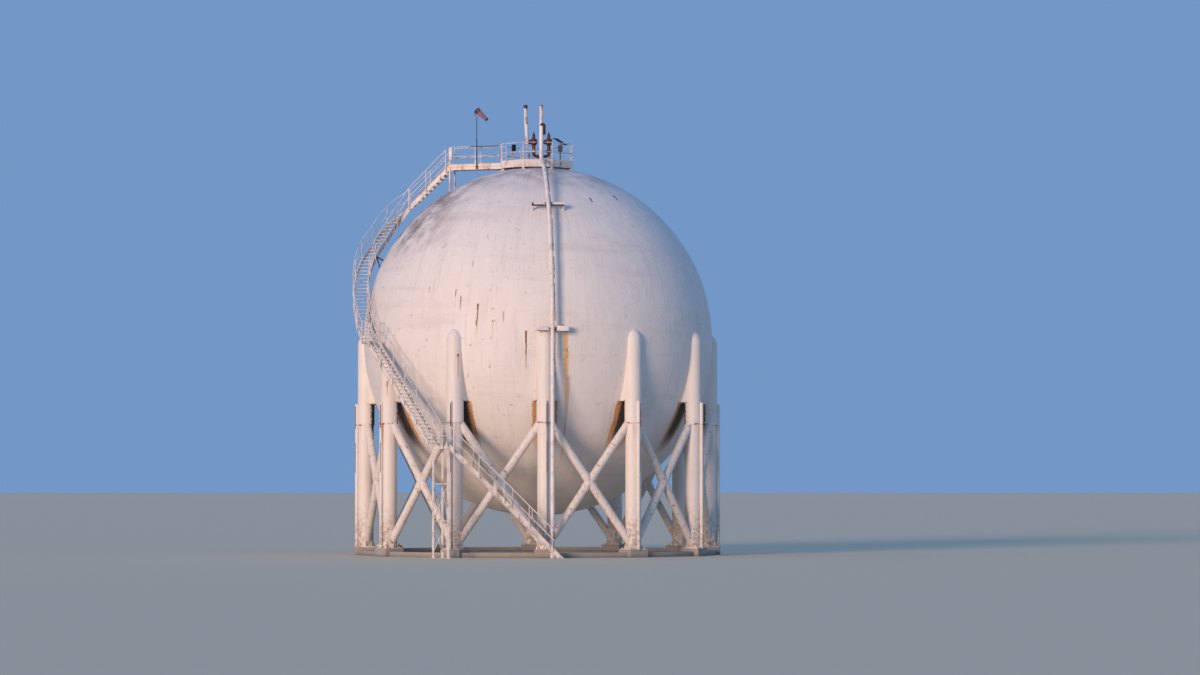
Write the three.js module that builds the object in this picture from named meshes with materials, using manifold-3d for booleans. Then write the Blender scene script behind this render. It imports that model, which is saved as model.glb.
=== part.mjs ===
// Spherical gas tank: an insulated steel sphere on twelve columns, tied by crossed pipes.
// A stair climbs the left side to a walkway and a platform on the crown, where two relief
// valves with a vent stack each, a lamp, a solar panel and a wind sock stand. One pipe runs down
// the front.
// Millimetres, +Z up, grade at Z 0. The front is towards -Y, and +X is to the right of it.

import * as THREE from 'three';
import { mergeVertices } from 'three/addons/utils/BufferGeometryUtils.js';
import Module from 'manifold-3d';

const wasm = await Module();
wasm.setup();

// Clearance between pieces that rest on or against each other
const GAP = 0.3;

// Sphere
const SHELL_RADIUS = 9400;
const SHELL_WALL = 180;
const EQUATOR_Z = 11500;
const SHELL_SIDES = 48;
const CAP_LATITUDE = 52.5;
const LATITUDE_STEP = 7.5;
const INNER_LATITUDE_STEP = 17.5;
const BELT_SEGMENTS = 3;

// Columns
const LEG_COUNT = 12;
const LEG_CIRCLE = 9260;
const LEG_RADIUS = 415;
const CLAD_RADIUS = 450;
const LEG_SIDES = 12;
const COLLAR_Z = 7000;
const WEB_BOTTOM_Z = 8175;
const DOME_START_Z = 11200;
const DOME_RISE = 660;
const WEB_HALF_AT_LEG = 430;
const WEB_HALF_AT_SHELL = 500;
const WEB_START = 60;
const WEB_LENGTH = 860;
const BASE_PLATE = 1000;
const BASE_PLATE_THICKNESS = 50;
const RISER_RADIUS = 95;
const RISER_OFFSET = 495;
const RISER_TOP_Z = 8100;

// Crossed pipes between neighbouring columns
const BRACE_RADIUS = 210;
const BRACE_TOP_Z = 7350;
const BRACE_BOTTOM_Z = 500;
const BRACE_SIDES = 6;

// Foundation
const RING_INNER = 8950;
const RING_OUTER = 9570;
const RING_HEIGHT = 250;
const RING_SIDES = 24;
const PEDESTAL = 1120;
const PEDESTAL_HEIGHT = 400;

// Crown platform, an octagon
const PLATFORM_ACROSS = 3840;
const PLATFORM_CENTRE_X = -100;
const DECK_Z = 21050;
const DECK_THICKNESS = 60;
const FASCIA_TOP_Z = 21200;
const FASCIA_BOTTOM_Z = 20810;
const FASCIA_THICKNESS = 60;
const DECK_HOLE_RADIUS = 260;
const FOOT = 110;
const FOOT_LENGTH_IN_SHELL = 400;

// Walkway from the platform to the head of the stair
const WALKWAY_ANGLE = -112.5;
const WALKWAY_END = 5070;
const WALKWAY_WIDTH = 800;
const WALKWAY_BEAM_DEPTH = 330;
const WALKWAY_POST = 80;
const WALKWAY_INNER_END = 1500;

// Handrails
const RAIL = 44;
const POST = 50;
const RAIL_HEIGHT = 1070;
const MID_RAIL_HEIGHT = 560;
const RAIL_POST_PITCH = 1300;
const RAIL_END_SETBACK = 60;

// Stair
const STAIR_WIDTH = 760;
const STRINGER_DEPTH = 260;
const STRINGER_THICKNESS = 60;
const STRINGER_ABOVE_TREAD = 130;
const RISER_HEIGHT = 200;
const TREAD_THICKNESS = 40;
const TREAD_OVERLAP = 40;
const TREAD_BITE = 6;
const LANDING_Z = 11300;
const MIDDLE_LANDING_Z = 5700;
const LANDING_THICKNESS = 120;
const LANDING_POST = 110;
const LANDING_POST_INSET = 0.22;
const LANDING_FOOT = [250, 250, 25];
const POST_BELOW_EDGE = 100;
const ARM_RADIUS = 60;
const ARM_BITE = 10;
const ARM_IN_SHELL = 600;
const SHELL_ARM_PLACE = 0.1;
const LEG_ARM_PLACE = 0.75;
const BOTTOM_START = [-4950, 10600];
const LOWER_HEADING = [0.588, 0.809];
const LOWER_START = [-8908, 5257];

// Centre line of the curved upper flight, each point across and out from the tank's axis
const UPPER_ROUTE = [
  [-4684, -1940],
  [-6300, -2505],
  [-7350, -2630],
  [-8040, -2120],
  [-8570, -1440],
  [-9170, -540],
  [-9520, 790],
  [-9510, 2620],
  [-9330, 3640],
  [-9110, 4290],
];

// Front pipe
const PIPE_RADIUS = 105;
const PIPE_SIDES = 10;
const PIPE_ANGLE = 2;
const PIPE_STANDOFF = 560;
const PIPE_TOP_Z = 22980;
const PIPE_TOP_REACH = 2140;
const PIPE_BEND = 350;
const RETURN_RADIUS = 75;
const RETURN_SPACING = 165;
const RETURN_END_Z = 22500;
const RETURN_STEPS = 4;
const RETURN_SIDES = 8;
const PIPE_FOOT = 240;
const PIPE_FOOT_THICKNESS = 25;
const BRACKET_LENGTH = 1720;
const BRACKET_DEPTH = 100;
const BRACKET_HEIGHT = 220;
const UPPER_BRACKET_LATITUDE = 45;
const LOWER_BRACKET_LATITUDE = 1.7;
const JUNCTION_BOX = [660, 200, 300];

// Relief valves and vents on the crown
const MANIFOLD_X = 165;
const NOZZLE_RADIUS = 130;
const VALVE_SPREAD = 405;
const VALVE_SEAT_Z = 21790;
const VALVE_OUTLET_Z = 22290;
const LEFT_VENT_X = -600;
const LEFT_VENT_LEAN = -90;
const RIGHT_VENT_X = 157;
const VENT_TOP_Z = 24300;
const VENT_RADIUS = 100;

// Solar panel and floodlight on the platform, each placed across and out from the tank's axis
const POST_FOOT_THICKNESS = 16;
const PANEL_PLACE = [1150, 900];
const PANEL_SIZE = [720, 540, 35];
const PANEL_TILT = 32;
const PANEL_HEADING = -33;
const PANEL_Z = 22240;
const PANEL_POST = [60, 200];
const CONTROL_BOX = [230, 170, 380];
const CONTROL_BOX_Z = 21840;
const LAMP_PLACE = [-1440, 900];
const LAMP_POST_TOP_Z = 22000;
const LAMP_POST = [50, 160];
const LAMP_SIZE = [230, 200, 370];
const LAMP_OFFSET = 90;
const LAMP_Z = 21900;

// Wind sock
const SOCK_POLE_REACH = 3400;
const SOCK_POLE_RADIUS = 27;
const SOCK_POLE_BOTTOM_Z = 20900;
const POLE_CLAMP = [110, 54, 180];
const SOCK_POLE_TOP_Z = 23560;
const SPINDLE_RADIUS = 12;
const SLEEVE_RADIUS = 24;
const SLEEVE_BORE = 14;
const SLEEVE_TOP_Z = 23790;
const SOCK_MOUTH_Z = 24080;
const SOCK_MOUTH_RADIUS = 190;
const SOCK_TIP_RADIUS = 95;
const SOCK_LENGTH = 800;
const SOCK_WALL = 8;
const SOCK_DROP = 36;
const SOCK_HEADING = 30;
const SOCK_SIDES = 12;
const FRAME_BAR = 10;
const STEM_RADIUS = 8;
const STEM_REACH = 140;
const STEM_DROP = 45;
const SLEEVE_CAP = 12;
const SPINDLE_ROOT = 20;
const SPINDLE_SHORT = 15;

const radians = THREE.MathUtils.degToRad;

// A point so far across to the right and so far out to the front
function at(across, out, z) {
  return new THREE.Vector3(across, -out, z);
}

// A point by its bearing from the front, its distance from the tank's axis, and its height
function polar(bearing, reach, z) {
  return at(reach * Math.sin(radians(bearing)), reach * Math.cos(radians(bearing)), z);
}

// Height of the sphere's outside at a distance from the axis, above the equator
function crownHeight(reach) {
  return EQUATOR_Z + Math.sqrt(SHELL_RADIUS ** 2 - reach ** 2);
}

// A manifold solid from a closed geometry, with its faces turned outwards
function solid(geometry) {
  const bare = geometry.clone();
  bare.deleteAttribute('normal');
  bare.deleteAttribute('uv');
  const merged = mergeVertices(bare, 1e-3);
  const place = merged.attributes.position;
  const corners = [0, 1, 2].map(() => new THREE.Vector3());
  const faces = [];
  let volume = 0;
  for (let i = 0; i < merged.index.count; i += 3) {
    const face = [0, 1, 2].map((k) => merged.index.getX(i + k));
    if (new Set(face).size < 3) continue;
    faces.push(face);
    face.forEach((v, k) => corners[k].fromBufferAttribute(place, v));
    volume += corners[0].dot(corners[1].clone().cross(corners[2]));
  }
  if (volume < 0) faces.forEach((face) => face.reverse());
  return new wasm.Manifold(new wasm.Mesh({
    numProp: 3,
    vertProperties: new Float32Array(place.array),
    triVerts: new Uint32Array(faces.flat()),
  }));
}

function geometryOf(shape) {
  const mesh = shape.getMesh();
  const geometry = new THREE.BufferGeometry();
  geometry.setAttribute('position', new THREE.Float32BufferAttribute(mesh.vertProperties, 3));
  geometry.setIndex(new THREE.Uint32BufferAttribute(mesh.triVerts, 1));
  geometry.computeVertexNormals();
  return geometry;
}

function joined(shapes) {
  return shapes.reduce((whole, shape) => whole.add(shape));
}

// Box from its centre and sizes, turned about the vertical by a heading
function block(centre, sizes, heading = 0) {
  const geometry = new THREE.BoxGeometry(...sizes);
  geometry.rotateZ(heading);
  geometry.translate(centre.x, centre.y, centre.z);
  return solid(geometry);
}

// Straight round bar between two points
function bar(from, to, radius, sides) {
  const along = to.clone().sub(from);
  const geometry = new THREE.CylinderGeometry(radius, radius, along.length(), sides);
  const turn = new THREE.Quaternion();
  turn.setFromUnitVectors(new THREE.Vector3(0, 1, 0), along.clone().normalize());
  geometry.applyQuaternion(turn);
  const middle = from.clone().add(to).multiplyScalar(0.5);
  geometry.translate(middle.x, middle.y, middle.z);
  return solid(geometry);
}

// Solid of revolution about the vertical through a point, from [radius, height] pairs
function turned(profile, sides, centre = new THREE.Vector3()) {
  const points = profile.map(([radius, height]) => new THREE.Vector2(radius, height));
  const geometry = new THREE.LatheGeometry(points, sides);
  geometry.rotateX(Math.PI / 2);
  geometry.rotateZ(Math.PI / 2);
  geometry.translate(centre.x, centre.y, centre.z);
  return solid(geometry);
}

// Plan outline raised from one height to another
function prism(outline, low, high) {
  const shape = new THREE.Shape(outline.map((p) => new THREE.Vector2(p.x, p.y)));
  const geometry = new THREE.ExtrudeGeometry(shape, { depth: high - low, bevelEnabled: false });
  geometry.translate(0, 0, low);
  return solid(geometry);
}

function polygon(radius, sides) {
  const corners = [];
  for (let i = 0; i < sides; i += 1) {
    const turn = (i + 0.5) / sides * 2 * Math.PI;
    corners.push(new THREE.Vector2(radius * Math.cos(turn), radius * Math.sin(turn)));
  }
  return corners;
}

// Level sideways direction to the right of a path at one of its points, mitred at a turn
function sideAt(path, i) {
  const last = path.length - 1;
  const into = path[Math.max(i, 1)].clone().sub(path[Math.max(i, 1) - 1]).setZ(0).normalize();
  const away = path[Math.min(i, last - 1) + 1].clone().sub(path[Math.min(i, last - 1)]).setZ(0).normalize();
  const plan = into.clone().add(away).normalize();
  return new THREE.Vector3(plan.y, -plan.x, 0).divideScalar(plan.dot(into));
}

// A line so far to the right of another, seen from above
function offsetLine(line, sideways) {
  return line.map((point, i) => point.clone().addScaledVector(sideAt(line, i), sideways));
}

// Bar of a given section along a path. The section's first number is measured sideways to the
// right of travel, and its second upwards, square to the slope. A path that stands upright
// somewhere lies in one plane, and its sideways direction is given.
function sweep(path, section, fixedSide = null) {
  const count = section.length;
  const positions = [];
  path.forEach((point, i) => {
    const side = fixedSide ?? sideAt(path, i);
    const along = path[Math.min(i + 1, path.length - 1)].clone().sub(path[Math.max(i - 1, 0)]);
    const slope = Math.hypot(along.x, along.y) / along.length();
    const up = fixedSide ? side.clone().cross(along).normalize() : new THREE.Vector3(0, 0, 1 / slope);
    section.forEach(([sideways, upwards]) => {
      const corner = point.clone().addScaledVector(side, sideways).addScaledVector(up, upwards);
      positions.push(corner.x, corner.y, corner.z);
    });
  });
  const faces = [];
  for (let i = 0; i < path.length - 1; i += 1) {
    for (let k = 0; k < count; k += 1) {
      const a = i * count + k;
      const b = i * count + (k + 1) % count;
      faces.push(a, b, b + count, a, b + count, a + count);
    }
  }
  const last = (path.length - 1) * count;
  for (let k = 1; k < count - 1; k += 1) {
    faces.push(0, k + 1, k, last, last + k, last + k + 1);
  }
  const geometry = new THREE.BufferGeometry();
  geometry.setAttribute('position', new THREE.Float32BufferAttribute(positions, 3));
  geometry.setIndex(faces);
  return solid(geometry);
}

const RAIL_SECTION = polygon(RAIL / Math.SQRT2, 4).map((p) => [p.x, p.y]);

function raised(path, height) {
  return path.map((point) => point.clone().add(new THREE.Vector3(0, 0, height)));
}

// Handrail over a foot line: top rail, middle rail, and square posts. Each post is a foot
// point, the way its stretch of rail runs, and how far it goes down past the foot line.
function handrail(footLine, posts) {
  const pieces = [
    sweep(raised(footLine, RAIL_HEIGHT), RAIL_SECTION),
    sweep(raised(footLine, MID_RAIL_HEIGHT), RAIL_SECTION),
  ];
  posts.forEach(({ foot, along, below }) => {
    const low = foot.z - below;
    const high = foot.z + RAIL_HEIGHT;
    pieces.push(block(
      foot.clone().setZ((low + high) / 2),
      [POST, POST, high - low],
      Math.atan2(along.y, along.x),
    ));
  });
  return joined(pieces);
}

// Posts on chosen stretches of a foot line, each at a part of the way along its stretch
function postsOn(footLine, places, below) {
  return places.map(([stretch, part]) => {
    const [start, end] = [footLine[stretch], footLine[stretch + 1]];
    return { foot: start.clone().lerp(end, part), along: end.clone().sub(start), below };
  });
}

function finish(colour, roughness, metalness = 0) {
  return new THREE.MeshStandardMaterial({ color: colour, roughness, metalness });
}

const SHELL_PAINT = finish(0xe2dbd8, 0.6);
const LEG_PAINT = finish(0xe6d5c9, 0.62);
const BRACE_PAINT = finish(0xd9cfc8, 0.6);
const STEEL_PAINT = finish(0xddd3cc, 0.55, 0.1);
const RAIL_PAINT = finish(0xcfc4bd, 0.5, 0.1);
const CONCRETE = finish(0x9c9a95, 0.9);
const VALVE_PAINT = finish(0x6e2f28, 0.55, 0.1);
const DARK_PANEL = finish(0x1c2740, 0.25);
const BLACK_CASTING = finish(0x1d1d1f, 0.5, 0.2);
const SOCK_CLOTH = finish(0xd98c78, 0.85);

const site = new THREE.Group();

function add(name, shape, material, turn = 0) {
  const mesh = new THREE.Mesh(geometryOf(shape), material);
  mesh.name = name;
  mesh.rotation.z = radians(turn);
  site.add(mesh);
}

// Points of an arc about the sphere's centre, from one latitude to another
function arc(radius, from, to, step) {
  const count = Math.round(Math.abs(to - from) / step);
  const points = [];
  for (let i = 0; i <= count; i += 1) {
    const latitude = radians(from + (to - from) * i / count);
    points.push([radius * Math.cos(latitude), EQUATOR_Z + radius * Math.sin(latitude)]);
  }
  return points;
}

// Everything that meets the sphere is cut by this slightly larger copy of it
const shellCutter = turned(
  arc(SHELL_RADIUS + GAP, -90, 90, LATITUDE_STEP).map(([r, z], i, all) => {
    return [i === 0 || i === all.length - 1 ? 0 : r, z];
  }),
  SHELL_SIDES,
);

// Shell: a crown cap, two belts in segments, and a bottom cap
function shellRing(low, high) {
  const outside = arc(SHELL_RADIUS, low, high, LATITUDE_STEP);
  const inside = arc(SHELL_RADIUS - SHELL_WALL, high, low, INNER_LATITUDE_STEP);
  const closed = [...outside, ...inside];
  if (high > 89.9) closed.forEach((p) => { p[0] = p[0] < 1 ? 0 : p[0]; });
  if (low < -89.9) closed.forEach((p) => { p[0] = p[0] < 1 ? 0 : p[0]; });
  const onAxis = high > 89.9 || low < -89.9;
  return turned(onAxis ? rotatedToAxis(closed) : [...closed, closed[0]], SHELL_SIDES);
}

// A cap's profile starts and ends on the axis
function rotatedToAxis(profile) {
  const n = profile.length;
  const start = profile.findIndex((p, i) => p[0] === 0 && profile[(i + n - 1) % n][0] === 0);
  const ordered = [];
  for (let i = 0; i < n; i += 1) ordered.push(profile[(start + i) % n]);
  return ordered;
}

const SEAM = GAP / SHELL_RADIUS * 180 / Math.PI;
add('crown_cap', shellRing(CAP_LATITUDE + SEAM, 90), SHELL_PAINT);
add('bottom_cap', shellRing(-90, -CAP_LATITUDE - SEAM), SHELL_PAINT);

function wedge(from, to) {
  const half = (to - from) / 2;
  const middle = (from + to) / 2;
  const apex = polar(middle, GAP / 2 / Math.sin(radians(half)), 0);
  const outline = [apex];
  for (let i = 0; i <= 4; i += 1) {
    outline.push(polar(from + (to - from) * i / 4, SHELL_RADIUS * 2, 0).add(apex));
  }
  return prism(outline, 0, EQUATOR_Z * 2);
}

const BELTS = [['upper_belt', 0, CAP_LATITUDE], ['lower_belt', -CAP_LATITUDE, -SEAM]];
for (const [name, low, high] of BELTS) {
  const ring = shellRing(low, high);
  for (let i = 0; i < BELT_SEGMENTS; i += 1) {
    const from = -15 + i * 360 / BELT_SEGMENTS;
    add(`${name}_${i + 1}`, ring.intersect(wedge(from, from + 360 / BELT_SEGMENTS)), SHELL_PAINT);
  }
}

// Columns: round leg, clad head with a domed top, web to the shell, riser pipe and base plate
function leg() {
  const foot = PEDESTAL_HEIGHT + GAP;
  const dome = [];
  for (let i = 1; i <= 3; i += 1) {
    const rise = radians(i * 30);
    dome.push([i === 3 ? 0 : CLAD_RADIUS * Math.cos(rise), DOME_START_Z + DOME_RISE * Math.sin(rise)]);
  }
  const column = turned([
    [0, foot],
    [LEG_RADIUS, foot],
    [LEG_RADIUS, COLLAR_Z],
    [CLAD_RADIUS, COLLAR_Z],
    [CLAD_RADIUS, DOME_START_Z],
    ...dome,
  ], LEG_SIDES, at(0, LEG_CIRCLE, 0));
  const web = prism([
    at(-WEB_HALF_AT_LEG, LEG_CIRCLE + WEB_START, 0),
    at(-WEB_HALF_AT_SHELL, LEG_CIRCLE + WEB_START - WEB_LENGTH, 0),
    at(WEB_HALF_AT_SHELL, LEG_CIRCLE + WEB_START - WEB_LENGTH, 0),
    at(WEB_HALF_AT_LEG, LEG_CIRCLE + WEB_START, 0),
  ], WEB_BOTTOM_Z, DOME_START_Z);
  const plateZ = foot + BASE_PLATE_THICKNESS / 2;
  const plate = block(at(0, LEG_CIRCLE, plateZ), [BASE_PLATE, BASE_PLATE, BASE_PLATE_THICKNESS]);
  const riserReach = LEG_CIRCLE + RISER_OFFSET;
  const riser = bar(at(0, riserReach, foot), at(0, riserReach, RISER_TOP_Z), RISER_RADIUS, 8);
  return joined([column, web, plate, riser]).subtract(shellCutter);
}

const LEG_PITCH = 360 / LEG_COUNT;
const oneLeg = leg();
for (let i = 0; i < LEG_COUNT; i += 1) {
  add(`leg_${i + 1}`, oneLeg, LEG_PAINT, i * LEG_PITCH);
}

// What meets a column is cut by this slightly larger copy of it, made for the first column
function legCutter() {
  return turned([
    [0, 0],
    [LEG_RADIUS + GAP, 0],
    [LEG_RADIUS + GAP, COLLAR_Z - GAP],
    [CLAD_RADIUS + GAP, COLLAR_Z - GAP],
    [CLAD_RADIUS + GAP, DOME_START_Z + DOME_RISE],
    [0, DOME_START_Z + DOME_RISE],
  ], LEG_SIDES, at(0, LEG_CIRCLE, 0));
}

// Crossed pipes of one bay, fused where they cross and cut to the columns
function crossBrace() {
  const first = polar(0, LEG_CIRCLE, 0);
  const second = polar(LEG_PITCH, LEG_CIRCLE, 0);
  const arms = [[first, second], [second, first]].map(([high, low]) => bar(
    high.clone().setZ(BRACE_TOP_Z),
    low.clone().setZ(BRACE_BOTTOM_Z),
    BRACE_RADIUS,
    BRACE_SIDES,
  ));
  return joined(arms)
    .subtract(legCutter())
    .subtract(legCutter().rotate([0, 0, LEG_PITCH]));
}

const oneBrace = crossBrace();
for (let i = 0; i < LEG_COUNT; i += 1) {
  add(`cross_brace_${i + 1}`, oneBrace, BRACE_PAINT, i * LEG_PITCH);
}

// Foundation: a ring beam with a pedestal under each column, cast as one
const ringBeam = turned([
  [RING_INNER, 0],
  [RING_OUTER, 0],
  [RING_OUTER, RING_HEIGHT],
  [RING_INNER, RING_HEIGHT],
  [RING_INNER, 0],
], RING_SIDES);
const pedestals = [];
for (let i = 0; i < LEG_COUNT; i += 1) {
  pedestals.push(block(
    polar(i * LEG_PITCH, LEG_CIRCLE, PEDESTAL_HEIGHT / 2),
    [PEDESTAL, PEDESTAL, PEDESTAL_HEIGHT],
    radians(i * LEG_PITCH),
  ));
}
add('foundation_ring', joined([ringBeam, ...pedestals]), CONCRETE);

// Crown platform: octagonal deck with a deep edge plate, on feet that stand on the shell
const OCTAGON_SCALE = 1 / 2 / Math.cos(Math.PI / 8);

function octagon(across) {
  return polygon(across * OCTAGON_SCALE, 8).map((p) => p.add(new THREE.Vector2(PLATFORM_CENTRE_X, 0)));
}

// A point on the walkway's line, so far sideways of it towards the front
function onWalkway(reach, sideways, z) {
  const point = polar(WALKWAY_ANGLE, reach, z);
  const side = polar(WALKWAY_ANGLE + 90, sideways, 0);
  return point.add(side);
}

const walkwayHeading = radians(WALKWAY_ANGLE - 90);

function crownPlatform() {
  const outer = prism(octagon(PLATFORM_ACROSS), FASCIA_BOTTOM_Z, FASCIA_TOP_Z);
  const innerAcross = PLATFORM_ACROSS - 2 * FASCIA_THICKNESS;
  const above = prism(octagon(innerAcross), DECK_Z, FASCIA_TOP_Z * 2);
  const below = prism(octagon(innerAcross), 0, DECK_Z - DECK_THICKNESS);
  const mouth = block(
    onWalkway(PLATFORM_ACROSS / 2, 0, DECK_Z + WALKWAY_BEAM_DEPTH / 2),
    [WALKWAY_WIDTH, WALKWAY_WIDTH - 2 * STRINGER_THICKNESS, WALKWAY_BEAM_DEPTH],
    walkwayHeading,
  );
  const hole = bar(
    at(MANIFOLD_X, 0, FASCIA_BOTTOM_Z),
    at(MANIFOLD_X, 0, FASCIA_TOP_Z),
    DECK_HOLE_RADIUS,
    12,
  );
  const footTop = DECK_Z - DECK_THICKNESS / 2;
  const footBottom = crownHeight(PLATFORM_ACROSS / 2) - FOOT_LENGTH_IN_SHELL;
  const feet = octagon(PLATFORM_ACROSS - FASCIA_THICKNESS - FOOT).map((p) => block(
    new THREE.Vector3(p.x, p.y, (footTop + footBottom) / 2),
    [FOOT, FOOT, footTop - footBottom],
  ));
  return joined([outer.subtract(above).subtract(below), ...feet])
    .subtract(mouth)
    .subtract(hole)
    .subtract(shellCutter);
}

add('crown_platform', crownPlatform(), STEEL_PAINT);

// Walkway: two edge beams, a deck between them, and two posts down to the shell at the far end
function walkway() {
  const middle = (WALKWAY_INNER_END + WALKWAY_END) / 2;
  const length = WALKWAY_END - WALKWAY_INNER_END;
  const beamZ = FASCIA_TOP_Z - WALKWAY_BEAM_DEPTH / 2;
  const beamOffset = (WALKWAY_WIDTH - STRINGER_THICKNESS) / 2;
  const pieces = [-1, 1].map((hand) => block(
    onWalkway(middle, hand * beamOffset, beamZ),
    [length, STRINGER_THICKNESS, WALKWAY_BEAM_DEPTH],
    walkwayHeading,
  ));
  pieces.push(block(
    onWalkway(middle, 0, DECK_Z - DECK_THICKNESS / 2),
    [length, WALKWAY_WIDTH - STRINGER_THICKNESS, DECK_THICKNESS],
    walkwayHeading,
  ));
  const postTop = DECK_Z - DECK_THICKNESS / 2;
  const postBottom = crownHeight(WALKWAY_END) - FOOT_LENGTH_IN_SHELL;
  [-1, 1].forEach((hand) => pieces.push(block(
    onWalkway(WALKWAY_END - WALKWAY_POST, hand * beamOffset, (postTop + postBottom) / 2),
    [WALKWAY_POST, WALKWAY_POST, postTop - postBottom],
    walkwayHeading,
  )));
  const platform = prism(octagon(PLATFORM_ACROSS + 2 * GAP), 0, FASCIA_TOP_Z * 2);
  return joined(pieces).subtract(platform).subtract(shellCutter);
}

add('walkway', walkway(), STEEL_PAINT);

// Railing of the walkway and the platform, one run from the stair round the crown and back
const RAIL_INSET = STRINGER_THICKNESS / 2;

// The platform's corner that faces the walkway is left out, and the rail goes in at its sides
function topRailing() {
  const railSide = WALKWAY_WIDTH / 2 - RAIL_INSET;
  const away = polar(WALKWAY_ANGLE, 1, 0);
  const side = polar(WALKWAY_ANGLE + 90, 1, 0);
  const bearing = (p) => {
    const fromCentre = new THREE.Vector3(p.x - PLATFORM_CENTRE_X, p.y, 0);
    return (Math.atan2(fromCentre.dot(side), fromCentre.dot(away)) + 2 * Math.PI) % (2 * Math.PI);
  };
  const corners = octagon(PLATFORM_ACROSS - FASCIA_THICKNESS)
    .map((p) => new THREE.Vector3(p.x, p.y, DECK_Z))
    .sort((a, b) => b.dot(away) - a.dot(away));
  const mouth = corners.shift();
  corners.sort((a, b) => bearing(a) - bearing(b));
  const edge = (sideways) => {
    const aside = Math.abs(sideways - mouth.dot(side));
    return mouth.dot(away) - aside * Math.tan(Math.PI / 8);
  };
  return [
    onWalkway(WALKWAY_END - RAIL_END_SETBACK, railSide, DECK_Z),
    onWalkway(edge(railSide), railSide, DECK_Z),
    ...corners,
    onWalkway(edge(-railSide), -railSide, DECK_Z),
    onWalkway(WALKWAY_END - RAIL_END_SETBACK, -railSide, DECK_Z),
  ];
}

const railing = topRailing();
const topPosts = [];
const edgeAboveDeck = FASCIA_TOP_Z + GAP - DECK_Z;
railing.slice(0, -1).forEach((start, i) => {
  const along = railing[i + 1].clone().sub(start);
  const count = Math.max(1, Math.round(along.length() / RAIL_POST_PITCH));
  for (let k = 0; k < count; k += 1) {
    const foot = start.clone().addScaledVector(along, k / count);
    topPosts.push({ foot, along, below: -edgeAboveDeck });
  }
});
const lastStretch = railing[railing.length - 1].clone().sub(railing[railing.length - 2]);
topPosts.push({ foot: railing[railing.length - 1], along: lastStretch, below: -edgeAboveDeck });
add('top_railing', handrail(railing, topPosts), RAIL_PAINT);

// What a flight is trimmed by at an end, so that it stops upright and just short of its seat
function endBlock(point, outward) {
  const away = outward.clone().setZ(0).normalize();
  const heart = point.clone().addScaledVector(away, STAIR_WIDTH - GAP);
  return block(heart, [2 * STAIR_WIDTH, 4 * STAIR_WIDTH, 4 * STAIR_WIDTH], Math.atan2(away.y, away.x));
}

// Stair: two stringers and treads on a centre line that falls from the first point to the last
function flight(centre, risers, topSeat = centre[0].clone().sub(centre[1])) {
  const n = centre.length - 1;
  const half = (STAIR_WIDTH - STRINGER_THICKNESS) / 2;
  const low = STRINGER_ABOVE_TREAD - STRINGER_DEPTH;
  const section = (hand) => [
    [hand * half - STRINGER_THICKNESS / 2, low],
    [hand * half + STRINGER_THICKNESS / 2, low],
    [hand * half + STRINGER_THICKNESS / 2, STRINGER_ABOVE_TREAD],
    [hand * half - STRINGER_THICKNESS / 2, STRINGER_ABOVE_TREAD],
  ];
  const upward = centre[0].clone().sub(centre[1]);
  const downward = centre[n].clone().sub(centre[n - 1]);
  const path = [
    centre[0].clone().add(upward.clone().setLength(STRINGER_DEPTH)),
    ...centre.slice(1, n),
    centre[n].clone().add(downward.clone().setLength(STRINGER_DEPTH)),
  ];
  const pieces = [sweep(path, section(-1)), sweep(path, section(1))];
  const line = new THREE.CatmullRomCurve3(centre);
  const run = Math.sqrt(line.getLength() ** 2 - (centre[0].z - centre[n].z) ** 2) / risers;
  for (let i = 1; i < risers; i += 1) {
    const point = line.getPointAt(i / risers);
    const along = line.getTangentAt(i / risers);
    pieces.push(block(
      point.clone().setZ(point.z - TREAD_THICKNESS / 2),
      [run + TREAD_OVERLAP, 2 * half - STRINGER_THICKNESS + 2 * TREAD_BITE, TREAD_THICKNESS],
      Math.atan2(along.y, along.x),
    ));
  }
  return joined(pieces)
    .subtract(endBlock(centre[0], topSeat))
    .subtract(endBlock(centre[n], downward));
}

const routeCurve = new THREE.CatmullRomCurve3(UPPER_ROUTE.map(([across, out]) => at(across, out, 0)));
const upperCentre = [];
const UPPER_STEPS = 20;
for (let i = 0; i <= UPPER_STEPS; i += 1) {
  const part = i / UPPER_STEPS;
  upperCentre.push(routeCurve.getPointAt(part).setZ(DECK_Z - (DECK_Z - LANDING_Z) * part));
}
const upperRisers = Math.round((DECK_Z - LANDING_Z) / RISER_HEIGHT);

const lowerHeading = at(LOWER_HEADING[0], LOWER_HEADING[1], 0).normalize();
const lowerTop = at(LOWER_START[0], LOWER_START[1], LANDING_Z);
const lowerBottom = lowerTop.clone()
  .addScaledVector(lowerHeading, LANDING_Z - MIDDLE_LANDING_Z)
  .setZ(MIDDLE_LANDING_Z);
const lowerCentre = [lowerTop, lowerBottom];

add('upper_flight', flight(upperCentre, upperRisers, polar(WALKWAY_ANGLE, -1, 0)), STEEL_PAINT);

// Landing at the equator, on one arm from the shell and one from the column beside it
const LANDING_LEG = 10;
const LANDING_INSET = 2;

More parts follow.
